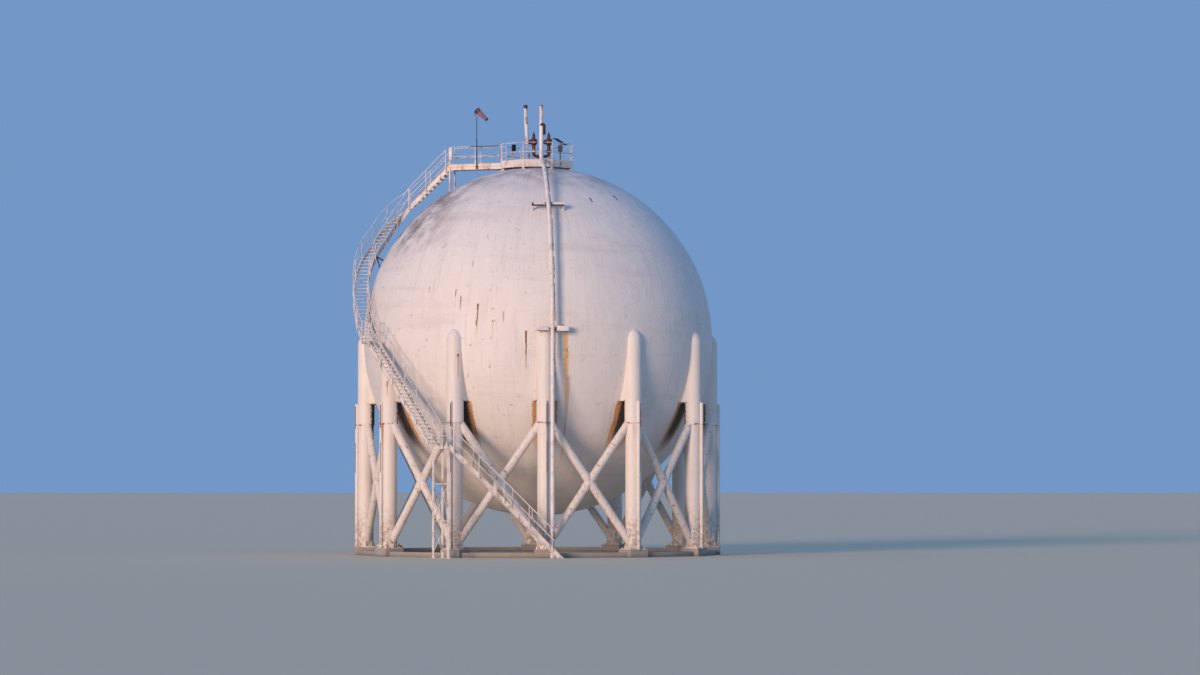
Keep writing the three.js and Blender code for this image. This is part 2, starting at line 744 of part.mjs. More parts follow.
function equatorLanding() {
  const head = upperCentre[UPPER_STEPS];
  const half = STAIR_WIDTH / 2 - LANDING_INSET;
  const outline = [1, -1].map((hand) => [
    offsetLine(upperCentre, hand * half)[UPPER_STEPS],
    offsetLine(lowerCentre, hand * half)[0],
  ]);
  const deck = prism(
    [...outline[0], ...outline[1].reverse()],
    LANDING_Z - LANDING_THICKNESS,
    LANDING_Z,
  );
  const armZ = LANDING_Z - LANDING_THICKNESS - ARM_RADIUS + ARM_BITE;
  const legAxis = polar(LANDING_LEG * LEG_PITCH, LEG_CIRCLE, armZ);
  const shellArm = head.clone().lerp(lowerTop, SHELL_ARM_PLACE).setZ(armZ);
  const legArm = head.clone().lerp(lowerTop, LEG_ARM_PLACE).setZ(armZ);
  const shellEnd = shellArm.clone().setZ(0).setLength(SHELL_RADIUS - ARM_IN_SHELL).setZ(armZ);
  const arms = [
    bar(shellEnd, shellArm, ARM_RADIUS, 6),
    bar(legAxis, legArm, ARM_RADIUS, 6),
  ];
  return joined([deck, ...arms])
    .subtract(legCutter().rotate([0, 0, LANDING_LEG * LEG_PITCH]))
    .subtract(shellCutter);
}

add('equator_landing', equatorLanding(), STEEL_PAINT);

const lowerRisers = Math.round((LANDING_Z - MIDDLE_LANDING_Z) / RISER_HEIGHT);
add('lower_flight', flight(lowerCentre, lowerRisers), STEEL_PAINT);

// Middle landing on four posts, where the stair turns to run along the front
const bottomTop = at(BOTTOM_START[0], BOTTOM_START[1], MIDDLE_LANDING_Z);
const bottomEnd = bottomTop.clone().add(at(MIDDLE_LANDING_Z, 0, -MIDDLE_LANDING_Z));

function landingOutline(grow) {
  const half = STAIR_WIDTH / 2 + grow;
  const [, inner] = offsetLine(lowerCentre, -half);
  const [, outer] = offsetLine(lowerCentre, half);
  const frontOut = BOTTOM_START[1] + half;
  const reach = (frontOut + outer.y) / -lowerHeading.y;
  const corner = outer.clone().addScaledVector(lowerHeading, reach);
  return [
    inner,
    outer,
    corner,
    at(BOTTOM_START[0], frontOut, MIDDLE_LANDING_Z),
    at(BOTTOM_START[0], BOTTOM_START[1] - half, MIDDLE_LANDING_Z),
  ];
}

function middleLanding() {
  const outline = landingOutline(0);
  const low = MIDDLE_LANDING_Z - LANDING_THICKNESS;
  const deck = prism(outline, low, MIDDLE_LANDING_Z);
  const heart = outline.reduce((sum, p) => sum.add(p), new THREE.Vector3()).divideScalar(outline.length);
  const posts = [];
  for (const corner of outline.filter((p, i) => i !== 2)) {
    const place = corner.clone().lerp(heart, LANDING_POST_INSET);
    const top = MIDDLE_LANDING_Z - POST_BELOW_EDGE - GAP;
    posts.push(block(place.clone().setZ(top / 2), [LANDING_POST, LANDING_POST, top]));
    posts.push(block(place.clone().setZ(LANDING_FOOT[2] / 2), LANDING_FOOT));
  }
  return joined([deck, ...posts]);
}

add('middle_landing', middleLanding(), STEEL_PAINT);

function bottomFlight() {
  const below = block(at(0, 0, -SHELL_RADIUS), [4 * SHELL_RADIUS, 4 * SHELL_RADIUS, 2 * SHELL_RADIUS]);
  const risers = Math.round(MIDDLE_LANDING_Z / RISER_HEIGHT);
  return flight([bottomTop, bottomEnd], risers).subtract(below);
}

add('bottom_flight', bottomFlight(), STEEL_PAINT);

// Stair rails: posts stand against the outer faces of the stringers and landings
const RAIL_OFFSET = STAIR_WIDTH / 2 + GAP + POST / 2;
const BOTTOM_RAIL_SHORT = 350;

function upperRail(hand) {
  const sideways = hand * RAIL_OFFSET;
  const line = [...offsetLine(upperCentre, sideways), offsetLine(lowerCentre, sideways)[0]];
  const n = line.length;
  const start = line[0].clone().lerp(line[1], 0.25);
  const end = line[n - 2].clone().lerp(line[n - 1], 0.85);
  const foot = [start, ...line.slice(1, n - 1), end];
  const places = [[0, 0.3]];
  for (let i = 2; i < UPPER_STEPS; i += 2) places.push([i, 0.5]);
  places.push([UPPER_STEPS, 0.08]);
  places.push([UPPER_STEPS, 0.9]);
  return handrail(foot, postsOn(foot, places, POST_BELOW_EDGE));
}

add('upper_outer_rail', upperRail(1), RAIL_PAINT);
add('upper_inner_rail', upperRail(-1), RAIL_PAINT);

function straightRail(centre, hand, from, to, count) {
  const edge = offsetLine(centre, hand * RAIL_OFFSET);
  const foot = [edge[0].clone().lerp(edge[1], from), edge[0].clone().lerp(edge[1], to)];
  const places = [];
  for (let i = 0; i < count; i += 1) places.push([0, 0.02 + 0.96 * i / (count - 1)]);
  return handrail(foot, postsOn(foot, places, POST_BELOW_EDGE));
}

add('lower_outer_rail', straightRail(lowerCentre, 1, 0.02, 0.98, 6), RAIL_PAINT);
add('lower_inner_rail', straightRail(lowerCentre, -1, 0.03, 0.98, 6), RAIL_PAINT);

// The outer rail of the bottom flight also goes round the outside of the middle landing
function bottomOuterRail() {
  const outline = landingOutline(GAP + POST / 2);
  const [, outer, corner, turn] = outline;
  const end = bottomEnd.clone().add(at(-BOTTOM_RAIL_SHORT, 0, BOTTOM_RAIL_SHORT)).setY(turn.y);
  const start = outer.clone().lerp(corner, 0.08);
  const foot = [start, corner, turn, end];
  const places = [[0, 0.05], [0, 0.85], [1, 0.5], [2, 0.04], [2, 0.28], [2, 0.52], [2, 0.76], [2, 0.98]];
  return handrail(foot, postsOn(foot, places, POST_BELOW_EDGE));
}

add('bottom_outer_rail', bottomOuterRail(), RAIL_PAINT);
add('bottom_inner_rail', straightRail([bottomTop, bottomEnd], -1, 0.02, 0.94, 6), RAIL_PAINT);

// Return bend at the front pipe's head, which hangs open end down on its right
function returnBend() {
  const bendRadius = RETURN_SPACING / 2;
  const route = [[0, -RETURN_RADIUS]];
  for (let i = 0; i <= RETURN_STEPS; i += 1) {
    const turn = i / RETURN_STEPS * Math.PI;
    route.push([bendRadius * (1 - Math.cos(turn)), bendRadius * Math.sin(turn)]);
  }
  route.push([RETURN_SPACING, RETURN_END_Z - PIPE_TOP_Z]);
  const head = polar(PIPE_ANGLE, PIPE_TOP_REACH, PIPE_TOP_Z);
  const section = polygon(RETURN_RADIUS, RETURN_SIDES).map((p) => [p.x, p.y]);
  const points = route.map(([aside, up]) => polar(PIPE_ANGLE + 90, aside, up).add(head));
  return sweep(points, section, polar(PIPE_ANGLE, 1, 0));
}

// Front pipe: an upright head at the platform, a bend, a long curve over the shell, and a drop
function frontPipe(radius) {
  const reachOut = SHELL_RADIUS + PIPE_STANDOFF;
  const bendZ = EQUATOR_Z + Math.sqrt(reachOut ** 2 - PIPE_TOP_REACH ** 2);
  const joinReach = PIPE_TOP_REACH + PIPE_BEND;
  const join = new THREE.Vector2(joinReach, EQUATOR_Z + Math.sqrt(reachOut ** 2 - joinReach ** 2));
  const bend = new THREE.QuadraticBezierCurve(
    new THREE.Vector2(PIPE_TOP_REACH, bendZ + PIPE_BEND),
    new THREE.Vector2(PIPE_TOP_REACH, bendZ),
    join,
  );
  const joinLatitude = Math.acos(joinReach / reachOut) * 180 / Math.PI;
  const curve = arc(reachOut, joinLatitude, 0, LATITUDE_STEP).slice(1);
  const route = [
    [PIPE_TOP_REACH, PIPE_TOP_Z],
    ...bend.getPoints(4).map((p) => [p.x, p.y]),
    ...curve,
    [reachOut, PIPE_FOOT_THICKNESS / 2],
  ];
  const side = polar(PIPE_ANGLE + 90, 1, 0);
  const section = polygon(radius, PIPE_SIDES).map((p) => [p.x, p.y]);
  const foot = block(
    polar(PIPE_ANGLE, reachOut, PIPE_FOOT_THICKNESS / 2),
    [PIPE_FOOT, PIPE_FOOT, PIPE_FOOT_THICKNESS],
    radians(PIPE_ANGLE),
  );
  return sweep(route.map(([r, z]) => polar(PIPE_ANGLE, r, z)), section, side).add(foot);
}

add('front_pipe', frontPipe(PIPE_RADIUS).add(returnBend()), SHELL_PAINT);

// Bar across behind the front pipe, saddled to it, with its ends bent in to the shell
function pipeBracket(latitude, withBox) {
  const standoff = PIPE_STANDOFF - PIPE_RADIUS - GAP - BRACKET_DEPTH / 2;
  const footReach = standoff + 2 * BRACKET_DEPTH;
  const boxes = [
    [[BRACKET_LENGTH, BRACKET_DEPTH, BRACKET_HEIGHT], [0, 0, 0]],
    ...[-1, 1].map((hand) => [
      [BRACKET_DEPTH, footReach, BRACKET_DEPTH],
      [hand * (BRACKET_LENGTH - BRACKET_DEPTH) / 2, footReach / 2, 0],
    ]),
  ];
  if (withBox) boxes.push([JUNCTION_BOX, [BRACKET_LENGTH / 2 - JUNCTION_BOX[0] / 2, 0, 0]]);
  const reach = SHELL_RADIUS + standoff;
  const rise = EQUATOR_Z + reach * Math.sin(radians(latitude));
  const heart = at(0, reach * Math.cos(radians(latitude)), rise);
  const pieces = boxes.map(([sizes, place]) => {
    const geometry = new THREE.BoxGeometry(...sizes);
    geometry.translate(...place);
    geometry.rotateX(-radians(latitude));
    geometry.translate(0, heart.y, heart.z);
    geometry.rotateZ(radians(PIPE_ANGLE));
    return solid(geometry);
  });
  return joined(pieces).subtract(frontPipe(PIPE_RADIUS + GAP)).subtract(shellCutter);
}

add('pipe_bracket_upper', pipeBracket(UPPER_BRACKET_LATITUDE, false), STEEL_PAINT);
add('pipe_bracket_lower', pipeBracket(LOWER_BRACKET_LATITUDE, true), STEEL_PAINT);

// Crown nozzle, a branch pipe with an upturned end under each valve, and four stays to the deck
const VALVE_FLANGE_RADIUS = 155;
const FLANGE_THICKNESS = 45;
const BRANCH_RADIUS = 85;
const BRANCH_Z = 21470;
const BRANCH_RISE = 130;
const NOZZLE_FLANGE = 60;
const NOZZLE_FLANGE_BELOW = 170;
const NOZZLE_TOP_ABOVE = 150;
const NOZZLE_IN_SHELL = 60;
const STAY_RADIUS = 28;
const STAY_FOOT = [470, 330];
const STAY_HEAD = [60, 30];

function manifold() {
  const nozzleLow = EQUATOR_Z + SHELL_RADIUS - NOZZLE_IN_SHELL;
  const flangeLow = BRANCH_Z - NOZZLE_FLANGE_BELOW;
  const flangeHigh = flangeLow + NOZZLE_FLANGE;
  const nozzle = turned([
    [0, nozzleLow],
    [NOZZLE_RADIUS, nozzleLow],
    [NOZZLE_RADIUS, flangeLow],
    [NOZZLE_RADIUS + NOZZLE_FLANGE, flangeLow],
    [NOZZLE_RADIUS + NOZZLE_FLANGE, flangeHigh],
    [NOZZLE_RADIUS, flangeHigh],
    [NOZZLE_RADIUS * 0.85, BRANCH_Z + BRANCH_RADIUS],
    [0, BRANCH_Z + NOZZLE_TOP_ABOVE],
  ], 12, at(MANIFOLD_X, 0, 0));
  const pieces = [nozzle];
  [-1, 1].forEach((hand) => {
    const x = MANIFOLD_X + hand * VALVE_SPREAD;
    const riserLow = BRANCH_Z + BRANCH_RISE / 2;
    pieces.push(bar(at(MANIFOLD_X, 0, BRANCH_Z), at(x, 0, BRANCH_Z + BRANCH_RISE), BRANCH_RADIUS, 8));
    pieces.push(turned([
      [0, riserLow],
      [BRANCH_RADIUS, riserLow],
      [BRANCH_RADIUS, VALVE_SEAT_Z - FLANGE_THICKNESS],
      [VALVE_FLANGE_RADIUS, VALVE_SEAT_Z - FLANGE_THICKNESS],
      [VALVE_FLANGE_RADIUS, VALVE_SEAT_Z],
      [0, VALVE_SEAT_Z],
    ], 12, at(x, 0, 0)));
    [-1, 1].forEach((depth) => pieces.push(bar(
      at(MANIFOLD_X + hand * STAY_HEAD[0], 0, BRANCH_Z + STAY_HEAD[1]),
      at(MANIFOLD_X + hand * STAY_FOOT[0], depth * STAY_FOOT[1], DECK_Z - STAY_RADIUS),
      STAY_RADIUS,
      4,
    )));
  });
  const deckBelow = prism(octagon(PLATFORM_ACROSS), FASCIA_BOTTOM_Z, DECK_Z + GAP);
  const passage = bar(
    at(MANIFOLD_X, 0, FASCIA_BOTTOM_Z - GAP),
    at(MANIFOLD_X, 0, FASCIA_TOP_Z),
    DECK_HOLE_RADIUS,
    12,
  );
  return joined(pieces).subtract(deckBelow.subtract(passage)).subtract(shellCutter);
}

add('relief_manifold', manifold(), VALVE_PAINT);

// Relief valve: flange, neck, round body and a pointed spring bonnet, with an outlet to one side.
// The body and bonnet are [radius, height above the outlet's centre] pairs.
const VALVE_NECK_RADIUS = 90;
const VALVE_BODY = [
  [VALVE_NECK_RADIUS, -190],
  [185, -110],
  [195, 90],
  [150, 170],
  [85, 220],
  [70, 400],
  [35, 470],
  [30, 560],
  [0, 575],
];
const VENT_BELOW_OUTLET = 130;

function reliefValve(x, ventX) {
  const seat = VALVE_SEAT_Z + GAP;
  const body = turned([
    [0, seat],
    [VALVE_FLANGE_RADIUS, seat],
    [VALVE_FLANGE_RADIUS, seat + FLANGE_THICKNESS],
    [VALVE_NECK_RADIUS, seat + FLANGE_THICKNESS],
    ...VALVE_BODY.map(([radius, above]) => [radius, VALVE_OUTLET_Z + above]),
  ], 12, at(x, 0, 0));
  return body.add(bar(at(x, 0, VALVE_OUTLET_Z), at(ventX, 0, VALVE_OUTLET_Z), BRANCH_RADIUS, 8));
}

function vent(x, lean, radius) {
  return bar(at(x, 0, VALVE_OUTLET_Z - VENT_BELOW_OUTLET), at(x + lean, 0, VENT_TOP_Z), radius, 12);
}

// The valve's outlet stops at the wall of its vent
function ventedValve(x, ventX, lean) {
  return reliefValve(x, ventX).subtract(vent(ventX, lean, VENT_RADIUS + GAP)).decompose()[0];
}

add('relief_valve_left', ventedValve(MANIFOLD_X - VALVE_SPREAD, LEFT_VENT_X, LEFT_VENT_LEAN), VALVE_PAINT);
add('relief_valve_right', ventedValve(MANIFOLD_X + VALVE_SPREAD, RIGHT_VENT_X, 0), VALVE_PAINT);
add('vent_stack_left', vent(LEFT_VENT_X, LEFT_VENT_LEAN, VENT_RADIUS), SHELL_PAINT);
add('vent_stack_right', vent(RIGHT_VENT_X, 0, VENT_RADIUS), SHELL_PAINT);

// Square post on the deck up to a height, on a thin square foot
function deckPost(x, out, topZ, width, footWidth) {
  const low = DECK_Z + GAP;
  return block(at(x, out, (low + topZ) / 2), [width, width, topZ - low])
    .add(block(at(x, out, low + POST_FOOT_THICKNESS / 2), [footWidth, footWidth, POST_FOOT_THICKNESS]));
}

// Solar panel, tilted on a control box that stands on a post
function solarPanel() {
  const [x, out] = PANEL_PLACE;
  const panel = new THREE.BoxGeometry(...PANEL_SIZE);
  panel.rotateY(radians(PANEL_TILT));
  panel.rotateZ(radians(PANEL_HEADING));
  panel.translate(x, -out, PANEL_Z);
  return joined([
    deckPost(x, out, PANEL_Z, ...PANEL_POST),
    block(at(x, out, CONTROL_BOX_Z), CONTROL_BOX),
    solid(panel),
  ]);
}

add('solar_panel', solarPanel(), DARK_PANEL);

// Floodlight beside a short post
function floodlight() {
  const [x, out] = LAMP_PLACE;
  return deckPost(x, out, LAMP_POST_TOP_Z, ...LAMP_POST)
    .add(block(at(x + LAMP_OFFSET, out, LAMP_Z), LAMP_SIZE));
}

add('floodlight', floodlight(), BLACK_CASTING);

// Wind sock: a pole clamped to the walkway's front beam, with a spindle at its top
const sockFoot = onWalkway(SOCK_POLE_REACH, WALKWAY_WIDTH / 2 + GAP + SOCK_POLE_RADIUS, 0);
const sockPole = joined([
  block(sockFoot.clone().setZ(SOCK_POLE_BOTTOM_Z + POLE_CLAMP[2] / 2), POLE_CLAMP, walkwayHeading),
  bar(
    sockFoot.clone().setZ(SOCK_POLE_BOTTOM_Z),
    sockFoot.clone().setZ(SOCK_POLE_TOP_Z),
    SOCK_POLE_RADIUS,
    8,
  ),
  bar(
    sockFoot.clone().setZ(SOCK_POLE_TOP_Z - SPINDLE_ROOT),
    sockFoot.clone().setZ(SLEEVE_TOP_Z - SPINDLE_SHORT),
    SPINDLE_RADIUS,
    8,
  ),
]);
add('wind_sock_pole', sockPole, RAIL_PAINT);

// Solid of revolution about the sock's axis, which falls from the mouth to the right and the back
function onSockAxis(profile, sides) {
  const points = profile.map(([radius, along]) => new THREE.Vector2(radius, along));
  const geometry = new THREE.LatheGeometry(points, sides);
  geometry.rotateZ(-Math.PI / 2);
  geometry.rotateY(radians(SOCK_DROP));
  geometry.rotateZ(radians(SOCK_HEADING));
  geometry.translate(sockFoot.x, sockFoot.y, SOCK_MOUTH_Z);
  return solid(geometry);
}

function frameRing() {
  const ring = [];
  for (let i = 0; i <= 6; i += 1) {
    const turn = i / 6 * 2 * Math.PI;
    ring.push([
      SOCK_MOUTH_RADIUS - FRAME_BAR + FRAME_BAR * Math.cos(turn),
      FRAME_BAR * Math.sin(turn),
    ]);
  }
  return onSockAxis(ring, SOCK_SIDES);
}

function sockFrame() {
  const low = SOCK_POLE_TOP_Z + GAP;
  const sleeve = bar(sockFoot.clone().setZ(low), sockFoot.clone().setZ(SLEEVE_TOP_Z), SLEEVE_RADIUS, 8);
  const drop = radians(SOCK_DROP);
  const heading = radians(SOCK_HEADING);
  const upright = new THREE.Vector3(0, 0, 1);
  const behind = new THREE.Vector3(-Math.cos(drop), 0, Math.sin(drop)).applyAxisAngle(upright, heading);
  const downward = new THREE.Vector3(-Math.sin(drop), 0, -Math.cos(drop)).applyAxisAngle(upright, heading);
  const mouth = sockFoot.clone().setZ(SOCK_MOUTH_Z);
  const ringFoot = mouth.clone()
    .addScaledVector(downward, SOCK_MOUTH_RADIUS - FRAME_BAR)
    .addScaledVector(behind, STEM_RADIUS);
  const elbow = mouth.clone()
    .addScaledVector(downward, SOCK_MOUTH_RADIUS + STEM_REACH)
    .addScaledVector(behind, STEM_RADIUS);
  const stem = [
    bar(sockFoot.clone().setZ(SLEEVE_TOP_Z - STEM_DROP), elbow, STEM_RADIUS, 6),
    bar(elbow, ringFoot, STEM_RADIUS, 6),
  ];
  const bore = bar(
    sockFoot.clone().setZ(low - SPINDLE_ROOT),
    sockFoot.clone().setZ(SLEEVE_TOP_Z - SLEEVE_CAP),
    SLEEVE_BORE,
    8,
  );
  return joined([sleeve, frameRing(), ...stem]).subtract(bore);
}

add('wind_sock_frame', sockFrame(), RAIL_PAINT);

const sockStart = FRAME_BAR * Math.sin(Math.PI / 3) + GAP;
add('wind_sock', onSockAxis([
  [SOCK_MOUTH_RADIUS, sockStart],
  [SOCK_TIP_RADIUS, sockStart + SOCK_LENGTH],
  [SOCK_TIP_RADIUS - SOCK_WALL, sockStart + SOCK_LENGTH],
  [SOCK_MOUTH_RADIUS - SOCK_WALL, sockStart],
  [SOCK_MOUTH_RADIUS, sockStart],
], SOCK_SIDES), SOCK_CLOTH);

// The origin is at grade under the middle of the whole tank's outline
const outline = new THREE.Box3().setFromObject(site, true);
const middle = outline.getCenter(new THREE.Vector3());
site.position.set(-middle.x, -middle.y, 0);

const tank = new THREE.Group();
tank.add(site);

export default tank;
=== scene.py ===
import math

import bmesh
import bpy
from mathutils import Matrix, Vector


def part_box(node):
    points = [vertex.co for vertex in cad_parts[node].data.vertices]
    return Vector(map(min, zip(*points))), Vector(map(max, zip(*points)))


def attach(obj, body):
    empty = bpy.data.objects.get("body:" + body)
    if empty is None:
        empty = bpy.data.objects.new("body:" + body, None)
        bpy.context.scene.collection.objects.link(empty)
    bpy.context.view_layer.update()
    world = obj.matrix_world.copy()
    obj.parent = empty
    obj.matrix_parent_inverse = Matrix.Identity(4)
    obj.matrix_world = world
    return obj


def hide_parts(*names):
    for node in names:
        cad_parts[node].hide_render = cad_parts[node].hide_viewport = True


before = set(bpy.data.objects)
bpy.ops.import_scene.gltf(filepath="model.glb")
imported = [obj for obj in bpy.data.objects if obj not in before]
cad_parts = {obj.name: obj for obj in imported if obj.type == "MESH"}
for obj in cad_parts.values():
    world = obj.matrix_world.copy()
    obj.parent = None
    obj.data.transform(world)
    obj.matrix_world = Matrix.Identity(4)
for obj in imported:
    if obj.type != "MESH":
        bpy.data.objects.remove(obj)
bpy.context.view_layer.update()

scene = bpy.context.scene

# Viewpoint: the tank is seen from 207 m away, from head height on a low bank, nearly square on,
# through a long lens. The sphere's own centre and radius come from the frame and place the rest.
cap_low, cap_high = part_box("crown_cap")
AXIS = Vector(((cap_low.x + cap_high.x) / 2, (cap_low.y + cap_high.y) / 2, 0))
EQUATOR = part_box("upper_belt_1")[0].z
SHELL_RADIUS = cap_high.z - EQUATOR


def at(across, out, height):
    """A point so far to the right of the sphere's axis, so far out to the front, and so high"""
    return Vector((AXIS.x + across, AXIS.y - out, height))


def polar(bearing, reach, height):
    """A point by its bearing from the front in degrees, its distance from the axis, and its height"""
    turn = math.radians(bearing)
    return at(reach * math.sin(turn), reach * math.cos(turn), height)


VIEW_BEARING = -2.3
VIEW_DISTANCE = 206.8
EYE_HEIGHT = 3.8
VIEW_PITCH = 2.19
VIEW_YAW = 0.927
LENS = 114.9

camera = bpy.data.objects.new("viewpoint", bpy.data.cameras.new("viewpoint"))
camera.data.lens = LENS
camera.data.clip_start = 1
camera.data.clip_end = 4000
camera.location = polar(VIEW_BEARING, VIEW_DISTANCE, EYE_HEIGHT)
camera.rotation_euler = (math.radians(90 + VIEW_PITCH), 0, math.radians(VIEW_BEARING - VIEW_YAW))
scene.collection.objects.link(camera)
scene.camera = camera

# Studio: a wide pale floor, one broad warm light from the left front, low down, and a cool even
# light from everywhere else.
FLOOR_RADIUS = 1500
floor_shape = bmesh.new()
bmesh.ops.create_circle(floor_shape, cap_ends=True, segments=96, radius=FLOOR_RADIUS)
bmesh.ops.translate(floor_shape, verts=floor_shape.verts, vec=(0, 0, -0.004))
floor_mesh = bpy.data.meshes.new("studio_floor")
floor_shape.to_mesh(floor_mesh)
floor_shape.free()
studio_floor = bpy.data.objects.new("studio_floor", floor_mesh)
scene.collection.objects.link(studio_floor)
floor_paint = bpy.data.materials.new("studio_floor")
floor_paint.use_nodes = True
floor_shader = floor_paint.node_tree.nodes["Principled BSDF"]
floor_shader.inputs["Base Color"].default_value = (0.76, 0.64, 0.46, 1)
floor_shader.inputs["Roughness"].default_value = 0.9
floor_mesh.materials.append(floor_paint)

KEY_BEARING = -35
KEY_HEIGHT = 9
key = bpy.data.objects.new("key", bpy.data.lights.new("key", "SUN"))
key.data.energy = 2.85
key.data.color = (1, 0.68, 0.47)
key.data.angle = math.radians(20)
key.rotation_euler = (math.radians(90 - KEY_HEIGHT), 0, math.radians(KEY_BEARING))
scene.collection.objects.link(key)

scene.world = bpy.data.worlds.new("studio")
scene.world.use_nodes = True
backdrop = scene.world.node_tree.nodes["Background"]
backdrop.inputs["Color"].default_value = (0.3, 0.55, 1.0, 1)
backdrop.inputs["Strength"].default_value = 0.57
scene.view_settings.view_transform = "Standard"

# Foundation: a concrete ring beam with a square pedestal cast on it under each column, chamfered
# at the top, with the marks of its shuttering and the damp at its foot.
RING_INNER = 8.95
RING_OUTER = 9.57
RING_TOP = 0.25
COLUMN_COUNT = 12
COLUMN_CIRCLE = 9.26
PEDESTAL = 1.12
PEDESTAL_TOP = 0.4
CHAMFER = 0.02
BAY_ANGLE = 360 / COLUMN_COUNT


class Wire:
    """A value in a shader's tree, which can be added to, taken away, multiplied and divided"""

    def __init__(self, socket):
        self.socket = socket

    def __add__(self, other):
        return maths("ADD", self, other)

    def __sub__(self, other):
        return maths("SUBTRACT", self, other)

    def __rsub__(self, other):
        return maths("SUBTRACT", other, self)

    def __mul__(self, other):
        return maths("MULTIPLY", self, other)

    def __truediv__(self, other):
        return maths("DIVIDE", self, other)


def link(value, socket):
    """Links a wire to a socket, or sets the socket to a number, a vector or a colour"""
    if isinstance(value, Wire):
        socket.id_data.links.new(value.socket, socket)
    else:
        socket.default_value = (*value, 1) if socket.type == "RGBA" else value


def put(kind, inputs, tree=None, **settings):
    """Adds a shader node with its settings and inputs, and gives its outputs by name and number"""
    wires = [value for value in inputs.values() if isinstance(value, Wire)]
    made = (tree or wires[0].socket.id_data).nodes.new(kind)
    for name, value in settings.items():
        setattr(made, name, value)
    for name, value in inputs.items():
        link(value, made.inputs[name])
    outputs = {}
    for number, socket in enumerate(made.outputs):
        outputs[number] = Wire(socket)
        outputs.setdefault(socket.name, outputs[number])
    return outputs


def maths(operation, *values):
    """The result of a Math node on wires or numbers"""
    return put("ShaderNodeMath", dict(enumerate(values)), operation=operation)[0]


def split(place):
    """The X, Y and Z of a place"""
    return put("ShaderNodeSeparateXYZ", {0: place})


def ease(value, low, high):
    """0 where the value is low, 1 where it is high, with a smooth change between"""
    ends = {"Value": value, "From Min": low, "From Max": high}
    return put("ShaderNodeMapRange", ends, interpolation_type="SMOOTHSTEP")["Result"]


def blend(share, below, above, way="MIX"):
    """Two colours mixed by a share"""
    return put("ShaderNodeMix", {0: share, 6: below, 7: above}, data_type="RGBA", blend_type=way)[2]


def noise(place, scale, detail=4, roughness=0.55):
    """Noise at a place, so many times a metre"""
    inputs = {"Vector": place, "Scale": scale, "Detail": detail, "Roughness": roughness}
    return put("ShaderNodeTexNoise", inputs)["Fac"]


def new_material(name):
    """A material, its shader and the place on the object"""
    made = bpy.data.materials.new(name)
    made.use_nodes = True
    place = put("ShaderNodeTexCoord", {}, made.node_tree)["Object"]
    return made, made.node_tree.nodes["Principled BSDF"], place


def surface(shader, colour, roughness, height=None, strength=0.5, distance=0.006):
    """Gives a shader its colour and roughness, and raises the surface by a height if there is one"""
    link(colour, shader.inputs["Base Color"])
    link(roughness, shader.inputs["Roughness"])
    if height:
        raised = put("ShaderNodeBump", {"Height": height, "Strength": strength, "Distance": distance})
        link(raised["Normal"], shader.inputs["Normal"])


def as_mesh(shape, name):
    """Writes a bmesh to a mesh and frees it"""
    mesh = bpy.data.meshes.new(name)
    shape.to_mesh(mesh)
    shape.free()
    return mesh


def keep(name, shape, material, stands_for=(), body="tank", crease=35):
    """Makes a piece of a bmesh: smooth but for its creases, finished, riding on a body"""
    bmesh.ops.recalc_face_normals(shape, faces=shape.faces)
    mesh = as_mesh(shape, name)
    mesh.polygons.foreach_set("use_smooth", [True] * len(mesh.polygons))
    mesh.set_sharp_from_angle(angle=math.radians(crease))
    mesh.materials.append(material)
    piece = bpy.data.objects.new(name, mesh)
    scene.collection.objects.link(piece)
    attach(piece, body)
    if stands_for:
        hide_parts(*stands_for)
    return piece


def about_axis(bearing):
    """Turns what is made at the front round the sphere's axis to a bearing"""
    turn = Matrix.Rotation(math.radians(bearing), 4, "Z")
    return Matrix.Translation(AXIS) @ turn @ Matrix.Translation(-AXIS)


def eased_box(shape, place, sizes, bevel, segments):
    """A box in a place of its own, its edges eased if asked"""
    made = bmesh.ops.create_cube(shape, size=1, matrix=place @ Matrix.Diagonal((*sizes, 1)))["verts"]
    if bevel:
        edges = list({edge for vert in made for edge in vert.link_edges})
        bmesh.ops.bevel(
            shape, geom=edges, offset=bevel, segments=segments, affect="EDGES", profile=0.5, material=-1
        )


def slab(shape, centre, sizes, heading=0, bevel=0):
    """An upright box by its centre, sizes and heading in degrees"""
    place = Matrix.Translation(centre) @ Matrix.Rotation(math.radians(heading), 4, "Z")
    eased_box(shape, place, sizes, bevel, 1)


def spun(shape, parts, centre, axle, angle, steps, merged):
    """Spins what is drawn about an axle through a centre"""
    bmesh.ops.spin(
        shape, geom=parts, cent=centre, axis=axle, dvec=(0, 0, 0), angle=angle, steps=steps,
        use_merge=merged
    )


def turned(shape, profile, centre, steps):
    """Spins a profile of (radius, height) pairs once round the upright through a centre"""
    corners = [shape.verts.new((centre.x + radius, centre.y, height)) for radius, height in profile]
    edges = [shape.edges.new(pair) for pair in zip(corners, corners[1:])]
    spun(shape, corners + edges, centre, (0, 0, 1), 2 * math.pi, steps, True)
    bmesh.ops.remove_doubles(shape, verts=shape.verts, dist=1e-5)


concrete, shader, place = new_material("weathered_concrete")
cloud = noise(place, 0.9, 6)
pores = noise(place, 38, 3)
damp = ease(split(place)["Z"], 0.22, 0.0)
grey = blend(cloud, (0.25, 0.24, 0.22), (0.42, 0.4, 0.37))
grey = blend(damp * 0.55, grey, (0.13, 0.12, 0.1))
surface(shader, grey, pores * 0.2 + 0.75, pores)

